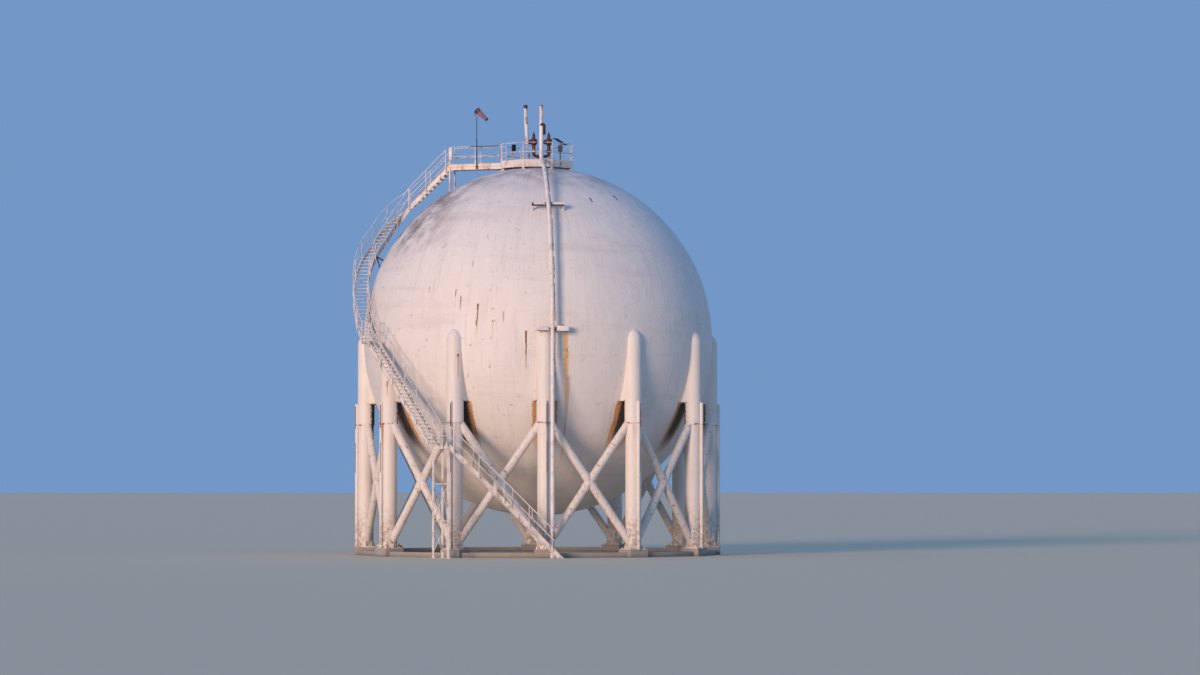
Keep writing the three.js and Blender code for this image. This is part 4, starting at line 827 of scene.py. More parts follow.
def flight(line, risers, top_way, floor=None, shallower=0):
    """Two stringers trimmed upright at their seats, with treads between them. The outer stringer of
    the curved flight is a little shallower than the inner one."""
    shape = bmesh.new()
    start, end = line[0], line[-1]
    longer = [start + (line[0] - line[1]).normalized() * STRINGER_DEPTH, *line[1:-1],
              end + (line[-1] - line[-2]).normalized() * STRINGER_DEPTH]
    half = (STAIR_WIDTH - FLANGE) / 2
    places = stations(longer)
    for hand in (-1, 1):
        low = ABOVE_TREAD - STRINGER_DEPTH + (shallower if hand > 0 else 0)
        drawn(shape, channel(hand, half, low, ABOVE_TREAD), places)
    bottom_way = (line[-1] - line[-2]).copy()
    bottom_way.z = 0
    cuts = [(start, top_way.normalized()), (end, bottom_way.normalized())]
    if floor is not None:
        cuts[1] = (up(floor), up(-1))
    for seat, outward in cuts:
        bmesh.ops.bisect_plane(
            shape, geom=shape.verts[:] + shape.edges[:] + shape.faces[:], plane_co=seat - outward * GAP,
            plane_no=outward, clear_outer=True,
        )
        bmesh.ops.holes_fill(shape, edges=[edge for edge in shape.edges if edge.is_boundary], sides=0)
    lengths = [0]
    for before, after in zip(line, line[1:]):
        lengths.append(lengths[-1] + (after - before).length)
    run = math.sqrt(lengths[-1] ** 2 - (start.z - end.z) ** 2) / risers
    for i in range(1, risers):
        wanted = lengths[-1] * i / risers
        k = max(n for n, length in enumerate(lengths[:-1]) if length <= wanted)
        share = (wanted - lengths[k]) / (lengths[k + 1] - lengths[k])
        tread(shape, line[k].lerp(line[k + 1], share), line[k + 1] - line[k], run)
    return shape


def grating(shape, corners, top):
    """A deck of bars, tied by thin rods, inside a convex outline of corners"""
    def span(lines, level):
        """Where a line at a level crosses the outline"""
        found = []
        for (a, b), (c, d) in zip(lines, lines[1:] + lines[:1]):
            if (b - level) * (d - level) < 0:
                found.append(a + (c - a) * (level - b) / (d - b))
        return (min(found), max(found)) if len(found) == 2 else None
    flat = [(corner.x, corner.y) for corner in corners]
    turned_flat = [(y, x) for x, y in flat]
    for lines, (pitch, steel, depth, drop, swap) in zip((flat, turned_flat), GRATING):
        low, high = min(v for u, v in lines), max(v for u, v in lines)
        for i in range(int((high - low) / pitch)):
            level = low + (i + 0.5) * pitch
            ends = span(lines, level)
            if ends and ends[1] - ends[0] > 0.03:
                middle = (ends[0] + ends[1]) / 2
                spot = (level, middle) if swap else (middle, level)
                sizes = (steel, ends[1] - ends[0], depth) if swap else (ends[1] - ends[0], steel, depth)
                slab(shape, Vector((*spot, top - drop - depth / 2)), sizes)


BROWN_STAIN = (0.42, 0.2, 0.09)
DEEP_RUST = (0.16, 0.045, 0.02)

# Flaking paint on steel: cream over rust, in spots, with brown stains round the spots
flaking_paint, flake, flake_out = new_group(
    "flaking_paint",
    {
        "Place": None, "Scale": 6.0, "Worn": 0.3, "Paint": (0.7, 0.62, 0.56), "Stain": BROWN_STAIN,
        "Rust": DEEP_RUST
    },
    ("Color", "Bare", "Height"),
)
stretched = put("ShaderNodeVectorMath", {0: flake["Place"], 1: (1, 1, 0.45)}, operation="MULTIPLY")[0]
spots = noise(stretched, flake["Scale"], 8, 0.68)
edge = 0.74 - flake["Worn"] * 0.36
over = spots - edge
bare = ease(over, 0.0, 0.035)
halo = ease(over, -0.11, 0.0) * 0.6
cloud = noise(flake["Place"], 2.2, 5)
shaded = blend(cloud * 0.55, flake["Paint"], (0.3, 0.25, 0.21), "MULTIPLY")
fresh = blend(ease(cloud, 0.45, 0.7), flake["Paint"], shaded)
tinted = blend(halo, fresh, flake["Stain"])
pitted = blend(noise(flake["Place"], 30.0, 4), flake["Rust"], flake["Stain"])
link(blend(bare, tinted, pitted), flake_out["Color"])
link(bare, flake_out["Bare"])
pits = noise(flake["Place"], 60.0, 3) * 0.4
link(pits - bare * 0.6, flake_out["Height"])


def worn_steel(name, paint, worn, scale=5.0, stain=BROWN_STAIN, rust=DEEP_RUST, gloss=0.5):
    """Painted steel with its paint flaking off, as far as it is worn"""
    made, shader, place = new_material(name)
    flakes = use_group(
        flaking_paint, Place=place, Scale=scale, Worn=worn, Paint=paint, Stain=stain, Rust=rust
    )
    surface(shader, flakes["Color"], flakes["Bare"] * 0.35 + gloss, flakes["Height"], 0.6, 0.006)
    return made


STAIR_WHITE = (0.73, 0.69, 0.68)
STAIR_STAIN = (0.4, 0.28, 0.22)
STAIR_RUST = (0.12, 0.06, 0.045)
stair_steel = worn_steel("stair_steel", STAIR_WHITE, 0.33, 4.5, STAIR_STAIN, STAIR_RUST)

keep("bottom_stair", flight([bottom_top, bottom_foot], 28, Vector((-1, 0, 0)), 0.0005), stair_steel,
     ["bottom_flight"])

half = STAIR_WIDTH / 2
lower_right = Vector((LOWER_HEADING.y, -LOWER_HEADING.x, 0))
inner, outer = lower_foot - lower_right * half, lower_foot + lower_right * half
front_y = bottom_top.y - half
corner = outer + LOWER_HEADING * ((front_y - outer.y) / LOWER_HEADING.y)
landing_corners = [inner, outer, corner, Vector((bottom_top.x, front_y, MIDDLE_LANDING)),
                   Vector((bottom_top.x, bottom_top.y + half, MIDDLE_LANDING))]
shape = bmesh.new()
clockwise = landing_corners[::-1]
edging = [(0, -LANDING_DEPTH), (0, 0), (0.05, 0), (0.05, -0.008), (0.008, -0.008), (0.008, -LANDING_DEPTH)]
drawn(shape, edging, stations(clockwise, closed=True), closed=True)
grating(shape, landing_corners, MIDDLE_LANDING - 0.001)
landing_heart = sum(landing_corners, Vector()) / len(landing_corners)
LANDING_POST = 0.11
LANDING_FOOT = (0.25, 0.25, 0.025)
LANDING_BOLTS = 0.09
TIE_LEVELS = (1.9, 3.8)
LEVEL_TIE = 0.03
SLANTED_TIE = 0.022
post_feet = []
for spot in landing_corners[:2] + landing_corners[3:]:
    foot = spot.lerp(landing_heart, 0.22)
    foot.z = 0
    post_feet.append(foot)
    top = MIDDLE_LANDING - 0.04
    slab(shape, foot + up(top / 2), (LANDING_POST, LANDING_POST, top), 0, 0.006)
    slab(shape, foot + up(LANDING_FOOT[2] / 2), LANDING_FOOT, 0, 0.003)
    four_bolts(shape, foot + up(LANDING_FOOT[2]), LANDING_BOLTS, 0.016)
    slab(shape, foot + up(MIDDLE_LANDING - 0.09), (0.2, 0.2, 0.01))
for first, second in ((0, 1), (1, 2), (2, 3), (3, 0)):
    low, high = post_feet[first], post_feet[second]
    for level in TIE_LEVELS:
        rod(shape, low + up(level), high + up(level), LEVEL_TIE, 8)
    rod(shape, low + up(0.3), high + up(TIE_LEVELS[0]), SLANTED_TIE, 8)
    rod(shape, high + up(TIE_LEVELS[1]), low + up(TIE_LEVELS[0]), SLANTED_TIE, 8)
for place in (inner.lerp(landing_corners[4], 0.35), inner.lerp(landing_corners[4], 0.7)):
    far = place + (corner - inner).normalized() * 0.7
    slab(shape, (place + far) / 2 - up(0.08), ((far - place).length, 0.05, 0.07),
         turn_of(far - place))
keep("middle_deck", shape, stair_steel, ["middle_landing"])

# Lower flight: straight and steep, from the middle landing up to the one at the equator. It has the
# same channel stringers and grating treads, and its ends are cut upright at their seats.
keep("lower_stair", flight([lower_top, lower_foot], 28, lower_top - lower_foot + up(-5.6)),
     stair_steel, ["lower_flight"])

# Upper flight: it follows the sphere round from the equator to the walkway, held off the shell by
# brackets. Its centre line is a smooth curve in plan that falls evenly.
ROUTE = [(-4.684, -1.94), (-6.3, -2.505), (-7.35, -2.63), (-8.04, -2.12), (-8.57, -1.44), (-9.17, -0.54),
         (-9.52, 0.79), (-9.51, 2.62), (-9.33, 3.64), (-9.11, 4.29)]


def smooth_route(points, finer):
    """A centripetal curve through points in plan, each stretch in so many steps"""
    spots = [at(across, out, 0) for across, out in points]
    spots = [2 * spots[0] - spots[1], *spots, 2 * spots[-1] - spots[-2]]
    line = [spots[1]]
    for a, b, c, d in zip(spots, spots[1:], spots[2:], spots[3:]):
        s, t, u = math.sqrt((b - a).length), math.sqrt((c - b).length), math.sqrt((d - c).length)
        leave = ((b - a) / s - (c - a) / (s + t) + (c - b) / t) * t
        arrive = ((c - b) / t - (d - b) / (t + u) + (d - c) / u) * t
        for i in range(1, finer + 1):
            x = i / finer
            line.append(
                b * (2 * x**3 - 3 * x**2 + 1) + leave * (x**3 - 2 * x**2 + x)
                + c * (3 * x**2 - 2 * x**3) + arrive * (x**3 - x**2)
            )
    return line


plan = smooth_route(ROUTE, 12)
walked = [0]
for before, after in zip(plan, plan[1:]):
    walked.append(walked[-1] + (after - before).length)
UPPER_STEPS = 40
upper_line = []
for i in range(UPPER_STEPS + 1):
    wanted = walked[-1] * i / UPPER_STEPS
    k = max(n for n, length in enumerate(walked[:-1]) if length <= wanted + 1e-9)
    spot = plan[k].lerp(plan[k + 1], min(1, (wanted - walked[k]) / (walked[k + 1] - walked[k])))
    spot.z = DECK - (DECK - EQUATOR_LANDING) * i / UPPER_STEPS
    upper_line.append(spot)
WALKWAY_ANGLE = -112.5
inward = polar(WALKWAY_ANGLE, 0, 0) - polar(WALKWAY_ANGLE, 1, 0)
shape = flight(upper_line, 49, inward, shallower=0.05)
keep("upper_stair", shape, stair_steel, ["upper_flight"])

# Stair brackets: two round arms from one point on the upper flight's inner stringer to pads on the
# shell, painted near-black, the paint flaking
arm_steel = worn_steel(
    "stair_arm_steel", (0.09, 0.08, 0.08), 0.5, 8.0, (0.16, 0.1, 0.08), (0.05, 0.03, 0.03)
)
ARM_STEPS = (20, 33)
ARM_DROP = 0.1
UPPER_ARM = 0.045
LOWER_ARM = 0.035
ARM_SINK = 0.03
shape = bmesh.new()
half = (STAIR_WIDTH - FLANGE) / 2
for i in ARM_STEPS:
    spot = upper_line[i]
    along = (upper_line[i + 1] - upper_line[i - 1]).normalized()
    right = along.cross(up(1)).normalized()
    near = spot - right * half - up(ARM_DROP)
    from_heart = near - CENTRE
    if from_heart.length > (spot + right * half - CENTRE).length:
        near = spot + right * half - up(ARM_DROP)
        from_heart = near - CENTRE
    outward = from_heart.normalized()
    on_shell = CENTRE + outward * (SHELL_RADIUS - ARM_SINK)
    below = CENTRE + (outward * SHELL_RADIUS - up(0.55)).normalized() * (SHELL_RADIUS - ARM_SINK)
    rod(shape, on_shell, near, UPPER_ARM, 10)
    rod(shape, below, near, LOWER_ARM, 10)
    for foot in (on_shell, below):
        out = (foot - CENTRE).normalized()
        rod(shape, foot, foot + out * 0.05, 0.11, 12)
keep("stair_arms", shape, arm_steel)

# Landing at the equator: an angle-framed grating on an arm from the shell, one from the column
# beside it, and a strut under its outer edge
HALF_LANDING = STAIR_WIDTH / 2 - 0.002
LANDING_ARM = 0.055
LANDING_STRUT = 0.04
STRUT_LOW = 9.75
LANDING_BEARING = -60
head = upper_line[-1]
head_right = (upper_line[-1] - upper_line[-2]).cross(up(1)).normalized()
landing_corners = [head + head_right * HALF_LANDING, lower_top + lower_right * HALF_LANDING,
                   lower_top - lower_right * HALF_LANDING, head - head_right * HALF_LANDING]
shape = bmesh.new()
turning = (landing_corners[1] - landing_corners[0]).cross(landing_corners[2] - landing_corners[1]).z
around = landing_corners[::-1] if turning > 0 else landing_corners
drawn(shape, edging, stations(around, closed=True), closed=True)
grating(shape, landing_corners, EQUATOR_LANDING - 0.001)
arm_z = EQUATOR_LANDING - LANDING_DEPTH - 0.05
column_axis = polar(LANDING_BEARING, COLUMN_CIRCLE, arm_z)
shell_arm = head.lerp(lower_top, 0.1)
column_arm = head.lerp(lower_top, 0.75)
shell_arm.z = column_arm.z = arm_z
shell_end = CENTRE + (shell_arm - CENTRE).normalized() * (SHELL_RADIUS - 0.05)
rod(shape, shell_end, shell_arm, LANDING_ARM, 12)
rod(shape, column_axis, column_arm, LANDING_ARM, 12)
out = (shell_arm - CENTRE).normalized()
rod(shape, shell_end, shell_end + out * 0.07, 0.14, 16)
strut_foot = polar(LANDING_BEARING, COLUMN_CIRCLE + CLAD_RADIUS - 0.03, STRUT_LOW)
rod(shape, strut_foot, column_arm - up(0.04), LANDING_STRUT, 10)
keep("equator_deck", shape, stair_steel, ["equator_landing"])

# Stair rails: round steel tube, painted as the stair is. A top and a middle rail run along posts, and
# each post has a lug at its foot that is welded to the outside of a stringer.
RAIL_RADIUS = 0.022
POST_RADIUS = 0.024
RAIL_HEIGHT = 1.07
MIDDLE_RAIL = 0.56
RAIL_OFFSET = STAIR_WIDTH / 2 + GAP + 0.025
POST_BELOW = 0.1
CUFF_LOW = 0.035
CUFF_HIGH = 0.018
CUFF_RADIUS = 0.03
LUG = (0.09, 0.02, 0.14)
rail_steel = worn_steel("rail_steel", STAIR_WHITE, 0.28, 3.5, STAIR_STAIN, STAIR_RUST)


def sideways(line, aside):
    """A line so far to the right of another, seen from above"""
    moved = []
    for place in stations([Vector((spot.x, spot.y, 0)) for spot in line]):
        moved.append(place @ Vector((aside, 0, 0)))
    return [Vector((spot.x, spot.y, was.z)) for spot, was in zip(moved, line)]


def railing(shape, foot_line, posts, below):
    """Two rails over a foot line, with posts at (stretch, share) places, each on a welded lug"""
    for height in (RAIL_HEIGHT, MIDDLE_RAIL):
        path = [spot + up(height) for spot in foot_line]
        drawn(shape, round_section(RAIL_RADIUS, 10), stations(path))
    for stretch, share in posts:
        start, end = foot_line[stretch], foot_line[stretch + 1]
        foot = start.lerp(end, share)
        rod(shape, foot - up(below), foot + up(RAIL_HEIGHT), POST_RADIUS, 10)
        turn = turn_of(end - start)
        slab(shape, foot - up(below - LUG[2] / 2), LUG, turn, 0.002)
        for height in (RAIL_HEIGHT, MIDDLE_RAIL):
            rod(shape, foot + up(height - CUFF_LOW), foot + up(height - CUFF_HIGH), CUFF_RADIUS, 10)


for name, node, hand in (
    ("upper_rail_outside", "upper_outer_rail", 1), ("upper_rail_inside", "upper_inner_rail", -1)
):
    line = sideways(upper_line, hand * RAIL_OFFSET)
    line.append(sideways([lower_top, lower_foot], hand * RAIL_OFFSET)[0])
    line[0] = line[0].lerp(line[1], 0.5)
    line[-1] = line[-2].lerp(line[-1], 0.85)
    posts = [(0, 0.3), *((i, 0) for i in range(5, UPPER_STEPS, 4)), (UPPER_STEPS, 0.08), (UPPER_STEPS, 0.9)]
    shape = bmesh.new()
    railing(shape, line, posts, POST_BELOW)
    keep(name, shape, rail_steel, [node])


def straight_rail(name, node, top, foot, hand, start, end, count):
    """The rail of a straight flight, from one share of it to another"""
    edge_line = sideways([top, foot], hand * RAIL_OFFSET)
    line = [edge_line[0].lerp(edge_line[1], start), edge_line[0].lerp(edge_line[1], end)]
    shape = bmesh.new()
    railing(shape, line, [(0, 0.02 + 0.96 * i / (count - 1)) for i in range(count)], POST_BELOW)
    keep(name, shape, rail_steel, [node])


straight_rail("lower_rail_outside", "lower_outer_rail", lower_top, lower_foot, 1, 0.02, 0.98, 6)
straight_rail("lower_rail_inside", "lower_inner_rail", lower_top, lower_foot, -1, 0.03, 0.98, 6)
straight_rail("bottom_rail_inside", "bottom_inner_rail", bottom_top, bottom_foot, -1, 0.02, 0.94, 6)
outer_edge = lower_foot + lower_right * RAIL_OFFSET
front_y = bottom_top.y - RAIL_OFFSET
bend = outer_edge + LOWER_HEADING * ((front_y - outer_edge.y) / LOWER_HEADING.y)
last = bottom_foot + Vector((-0.35, 0, 0.35))
line = [
    outer_edge.lerp(bend, 0.08), bend, Vector((bottom_top.x, front_y, MIDDLE_LANDING)),
    Vector((last.x, front_y, last.z))
]
shape = bmesh.new()
railing(
    shape, line, [(0, 0.05), (0, 0.85), (1, 0.5), (2, 0.04), (2, 0.28), (2, 0.52), (2, 0.76), (2, 0.98)],
    POST_BELOW
)
keep("bottom_rail_outside", shape, rail_steel, ["bottom_outer_rail"])

# Crown platform: an octagonal grating in a deep edge of rolled channel with a toe plate on it,
# over light joists, standing on eight short feet with pads on the shell
PLATFORM_CENTRE = at(-0.1, 0, 0)
PLATFORM_ACROSS = 3.84
EIGHTH = math.pi / 4
EDGE_LOW = 20.81
EDGE_MID = 21.03
EDGE_TOP = 21.2
TOE_STEEL = 0.008
HOLE_RADIUS = 0.26
HOLE_OFFSET = 0.265
WALKWAY_HALF = 0.34
FOOT = 0.11
FOOT_PLATE = (0.17, 0.17, 0.02)
PAD_SINK = 0.01
PAD_RISE = 0.025
JOIST_PLACES = (-1.25, -0.62, 0.75, 1.3)
away = polar(WALKWAY_ANGLE, 1, 0) - polar(WALKWAY_ANGLE, 0, 0)
aside = polar(WALKWAY_ANGLE + 90, 1, 0) - polar(WALKWAY_ANGLE + 90, 0, 0)


def on_walkway(reach, sideways_by, height):
    """A point along the walkway's line, so far from it towards the front"""
    spot = AXIS + away * reach + aside * sideways_by
    return Vector((spot.x, spot.y, height))


def octagon(across, height):
    """The platform's corners, from the one that faces the walkway round"""
    first = away * (across / 2 / math.cos(EIGHTH / 2))
    corners = (Matrix.Rotation(i * EIGHTH, 3, "Z") @ first for i in range(8))
    return [PLATFORM_CENTRE + corner + up(height) for corner in corners]


def joist(shape, start, end, depth, width):
    """A small rolled beam between two points: two flanges and a web"""
    middle, length = (start + end) / 2, (end - start).length
    turn = turn_of(end - start)
    slab(shape, middle - up(0.004), (length, width, 0.008), turn)
    slab(shape, middle - up(depth - 0.004), (length, width, 0.008), turn)
    slab(shape, middle - up(depth / 2), (length, 0.006, depth - 0.016), turn)


def toe_section(hand, low):
    """A toe plate's section: an upright plate with a lip that reaches outwards at its top"""
    half, lip = FLANGE / 2, EDGE_TOP - TOE_STEEL
    return [(hand * right, height) for right, height in (
        (-half, low), (TOE_STEEL - half, low), (TOE_STEEL - half, lip), (half, lip), (half, EDGE_TOP),
        (-half, EDGE_TOP),
    )]


def shell_pad(shape, spot, size):
    """A round pad on the shell, square to it"""
    out = (spot - CENTRE).normalized()
    rod(shape, CENTRE + out * (SHELL_RADIUS - PAD_SINK), CENTRE + out * (SHELL_RADIUS + PAD_RISE), size, 16)


platform_steel = worn_steel(
    "platform_steel", (0.72, 0.67, 0.65), 0.4, 2.6, (0.42, 0.26, 0.17), (0.13, 0.06, 0.045)
)
shape = bmesh.new()
edge_middle = PLATFORM_ACROSS - FLANGE
ring = octagon(edge_middle, 0)
drawn(shape, channel(1, 0, EDGE_LOW, EDGE_MID), stations(ring[::-1], closed=True), closed=True)
mouth = ring[0]
step = (WALKWAY_HALF + 0.02) / math.cos(EIGHTH / 2)
toe = [
    mouth + (ring[1] - mouth).normalized() * step, *ring[1:], mouth + (ring[7] - mouth).normalized() * step
]
drawn(shape, toe_section(1, EDGE_MID), stations(toe[::-1]))
APOTHEM = PLATFORM_ACROSS / 2 - FLANGE
for pitch, steel, depth, drop, swap in GRATING:
    for i in range(int(2 * APOTHEM / pitch)):
        level = -APOTHEM + (i + 0.5) * pitch
        reach = min(APOTHEM, APOTHEM * math.sqrt(2) - abs(level))
        hole_along, hole_level = (0, level - HOLE_OFFSET) if swap else (HOLE_OFFSET, level)
        runs = [(-reach, reach)]
        if abs(hole_level) < HOLE_RADIUS:
            chord = math.sqrt(HOLE_RADIUS**2 - hole_level**2)
            runs = [(-reach, hole_along - chord), (hole_along + chord, reach)]
        for low, high in runs:
            spot = Vector((level, (low + high) / 2, 0)) if swap else Vector(((low + high) / 2, level, 0))
            sizes = (steel, high - low, depth) if swap else (high - low, steel, depth)
            slab(shape, PLATFORM_CENTRE + spot + up(DECK - drop - depth / 2), sizes)
turned(shape, [
    (HOLE_RADIUS, DECK - 0.04), (HOLE_RADIUS + 0.008, DECK - 0.04), (HOLE_RADIUS + 0.008, DECK + 0.06),
    (HOLE_RADIUS, DECK + 0.06), (HOLE_RADIUS, DECK - 0.04),
], at(0.165, 0, 0), 32)
for x in JOIST_PLACES:
    reach = min(APOTHEM, APOTHEM * math.sqrt(2) - abs(x)) + 0.01
    start, end = (PLATFORM_CENTRE + Vector((x, y, DECK - 0.036)) for y in (-reach, reach))
    joist(shape, start, end, 0.085, 0.06)
for foot in octagon(PLATFORM_ACROSS - FLANGE - FOOT, 0):
    flat_reach = math.hypot(foot.x - AXIS.x, foot.y - AXIS.y)
    on_shell = EQUATOR + math.sqrt(SHELL_RADIUS**2 - flat_reach**2)
    turn = turn_of(foot - PLATFORM_CENTRE)
    low, high = on_shell - 0.04, DECK - 0.03
    slab(shape, Vector((foot.x, foot.y, (low + high) / 2)), (FOOT, FOOT, high - low), turn, 0.006)
    slab(shape, Vector((foot.x, foot.y, EDGE_LOW - 0.012)), FOOT_PLATE, turn, 0.003)
    shell_pad(shape, Vector((foot.x, foot.y, on_shell)), 0.16)
keep("platform", shape, platform_steel, ["crown_platform"])

# Walkway: a narrow grating between two rolled channels with toe plates, from the platform's corner
# to the head of the stair, where two square posts stand on the shell
WALKWAY_END = 5.07
BEAM_LOW = 20.87
BEAM_MID = 21.045
WALKWAY_POST = 0.08
BEAM_OFFSET = 0.37
deck_turn = WALKWAY_ANGLE - 90
mouth_reach = (mouth - AXIS).dot(away) + 0.03 / math.cos(EIGHTH / 2)
mouth_aside = (mouth - AXIS).dot(aside)
shape = bmesh.new()
for hand in (-1, 1):
    start = mouth_reach - abs(hand * BEAM_OFFSET - mouth_aside) * math.tan(EIGHTH / 2) + 0.004
    path = [on_walkway(WALKWAY_END, hand * BEAM_OFFSET, 0), on_walkway(start, hand * BEAM_OFFSET, 0)]
    outward = 1 if (path[1] - path[0]).cross(up(1)).dot(aside) * hand > 0 else -1
    places = stations(path)
    drawn(shape, channel(outward, 0, BEAM_LOW, BEAM_MID), places)
    drawn(shape, toe_section(outward, BEAM_MID + 0.004), places)
    post = on_walkway(WALKWAY_END - WALKWAY_POST, hand * BEAM_OFFSET, 0)
    on_shell = EQUATOR + math.sqrt(SHELL_RADIUS**2 - (WALKWAY_END - WALKWAY_POST) ** 2 - BEAM_OFFSET**2)
    low, high = on_shell - 0.03, DECK - 0.03
    slab(shape, post + up((low + high) / 2), (WALKWAY_POST, WALKWAY_POST, high - low), deck_turn, 0.006)
    shell_pad(shape, post + up(on_shell), 0.15)
count = int((WALKWAY_END - 2.0) / BAR_PITCH)
for i in range(count):
    reach = WALKWAY_END - 0.02 - i * BAR_PITCH
    free = (mouth_reach - reach) / math.tan(EIGHTH / 2)
    runs = [(-WALKWAY_HALF, WALKWAY_HALF)]
    if free > 0:
        runs = [(-WALKWAY_HALF, mouth_aside - free), (mouth_aside + free, WALKWAY_HALF)]
    for low, high in runs:
        if high - low > 0.03:
            spot = on_walkway(reach, (low + high) / 2, DECK - BAR_DEPTH / 2)
            slab(shape, spot, (BAR_STEEL, high - low, BAR_DEPTH), deck_turn)
middle, length = (mouth_reach + WALKWAY_END) / 2, WALKWAY_END - mouth_reach
for i in range(7):
    spot = on_walkway(middle, (i - 3) * ROD_PITCH, DECK - 0.004)
    slab(shape, spot, (length, ROD_STEEL, ROD_STEEL), deck_turn)
for reach in (2.4, 3.2, 4.0, 4.7):
    start, end = (on_walkway(reach, side, DECK - 0.037) for side in (-WALKWAY_HALF, WALKWAY_HALF))
    joist(shape, start, end, 0.07, 0.045)
slab(shape, on_walkway(WALKWAY_END - 0.004, 0, DECK - 0.05), (0.008, 2 * WALKWAY_HALF, 0.1), deck_turn)
keep("walkway_deck", shape, platform_steel, ["walkway"])

# Top railing: one run from the stair's head along the walkway, round the crown and back, its posts
# bolted to the toe plates. The rail above the walkway has lost most of its paint.
RAIL_PITCH = 1.3
corners = octagon(PLATFORM_ACROSS - FLANGE, DECK)
corner_reach = (corners[0] - AXIS).dot(away)
corner_aside = (corners[0] - AXIS).dot(aside)


def rail_edge(sideways_by):
    """Where the walkway's rail meets the platform's"""
    return corner_reach - abs(sideways_by - corner_aside) * math.tan(EIGHTH / 2)


front_first = corners[1:] if (corners[1] - corners[7]).dot(aside) > 0 else corners[:0:-1]
front_run, back_run = ([
    on_walkway(WALKWAY_END - 0.06, side, DECK), on_walkway(rail_edge(side), side, DECK),
] for side in (BEAM_OFFSET, -BEAM_OFFSET))
line = front_run + front_first + back_run[::-1]
posts = []
for i, (start, end) in enumerate(zip(line, line[1:])):
    many = max(1, round((end - start).length / RAIL_PITCH))
    posts += [(i, k / many) for k in range(many)]
posts.append((len(line) - 2, 1.0))
shape = bmesh.new()
railing(shape, line, posts, -(EDGE_TOP + GAP - DECK))
for stretch, share in posts:
    start, end = line[stretch], line[stretch + 1]
    foot = start.lerp(end, share)
    turn = turn_of(end - start)
    slab(shape, Vector((foot.x, foot.y, EDGE_TOP + 0.006)), (0.13, 0.056, 0.01), turn, 0.002)
head_post = line[0].lerp(line[1], 0.02)
slab(shape, head_post + aside * 0.03 + up(0.72), (0.18, 0.012, 0.66), deck_turn, 0.003)
top_rail_steel = worn_steel(
    "top_rail_steel", (0.7, 0.66, 0.66), 0.42, 2.4, (0.36, 0.22, 0.16), (0.08, 0.04, 0.035)
)
keep("crown_railing", shape, top_rail_steel, ["top_railing"])

# Bare length of the walkway's front top rail: the same round tube, its paint gone down to dark steel.
# Beside it, where the paint still holds, a thin dark rod lies along the tube's underside.
shape = bmesh.new()
lift = up(RAIL_HEIGHT)
bare_from, bare_to = (line[0].lerp(line[1], share) + lift for share in (0.4, 0.97))
rod(shape, bare_from, bare_to, RAIL_RADIUS + 0.003, 16)
rod(shape, line[0].lerp(line[1], 0.03) + lift - up(0.016), bare_from - up(0.016), 0.012, 10)
keep("bare_rail", shape, arm_steel)

# Front pipe: it stands up at the platform, bends over and runs down the shell to grade, foamed and
# coated, held by clips. A thin conduit ran beside it and is rusted through in places.
PIPE_ANGLE = 2
PIPE_RADIUS = 0.105
PIPE_REACH = SHELL_RADIUS + 0.56
PIPE_TOP = 22.98
PIPE_TOP_REACH = 2.14
PIPE_BEND = 0.35
PIPE_SIDE = polar(PIPE_ANGLE + 90, 1, 0) - polar(PIPE_ANGLE + 90, 0, 0)
bend_z = EQUATOR + math.sqrt(PIPE_REACH**2 - PIPE_TOP_REACH**2)
join_reach = PIPE_TOP_REACH + PIPE_BEND
join_z = EQUATOR + math.sqrt(PIPE_REACH**2 - join_reach**2)
join_latitude = math.degrees(math.acos(join_reach / PIPE_REACH))
STRAIGHT_STATIONS = (9, 6.5, 4, 1.5, 0.03)
ARC_CLIPS = (0.94, 0.8, 0.66, 0.52, 0.4, 0.3, 0.2, 0.1)
STRAIGHT_CLIPS = (9.6, 7.9, 6.2, 4.5, 2.8, 1.1)


def on_pipe(latitude):
    """The point on the pipe's line at a latitude in degrees"""
    turn = math.radians(latitude)
    return polar(PIPE_ANGLE, PIPE_REACH * math.cos(turn), EQUATOR + PIPE_REACH * math.sin(turn))


route = [(PIPE_TOP_REACH, PIPE_TOP - 0.03)]
for i in range(9):
    t = i / 8
    route.append(((1 - t) ** 2 * PIPE_TOP_REACH + 2 * t * (1 - t) * PIPE_TOP_REACH + t * t * join_reach,
                  (1 - t) ** 2 * (bend_z + PIPE_BEND) + 2 * t * (1 - t) * bend_z + t * t * join_z))
ARCS = 26
for i in range(1, ARCS + 1):
    latitude = math.radians(join_latitude * (1 - i / ARCS))
    route.append((PIPE_REACH * math.cos(latitude), EQUATOR + PIPE_REACH * math.sin(latitude)))
for height in STRAIGHT_STATIONS:
    route.append((PIPE_REACH, height))
pipe_path = [polar(PIPE_ANGLE, reach, height) for reach, height in route]
shape = bmesh.new()
drawn(shape, round_section(PIPE_RADIUS, 24), stations(pipe_path, PIPE_SIDE))
head = polar(PIPE_ANGLE, PIPE_TOP_REACH, 0)
turned(shape, [(PIPE_RADIUS, PIPE_TOP - 0.032), (PIPE_RADIUS - 0.02, PIPE_TOP), (0, PIPE_TOP)], head, 24)
foot = polar(PIPE_ANGLE, PIPE_REACH, 0)
slab(shape, foot + up(0.0125), (0.24, 0.24, 0.025), PIPE_ANGLE, 0.004)
four_bolts(shape, foot + up(0.025), 0.09, 0.013)
for share in ARC_CLIPS:
    turn = math.radians(join_latitude * share)
    spot = on_pipe(join_latitude * share)
    along = (polar(PIPE_ANGLE, -math.sin(turn), math.cos(turn)) - polar(PIPE_ANGLE, 0, 0)).normalized()
    rod(shape, spot - along * 0.025, spot + along * 0.025, PIPE_RADIUS + 0.01, 24)
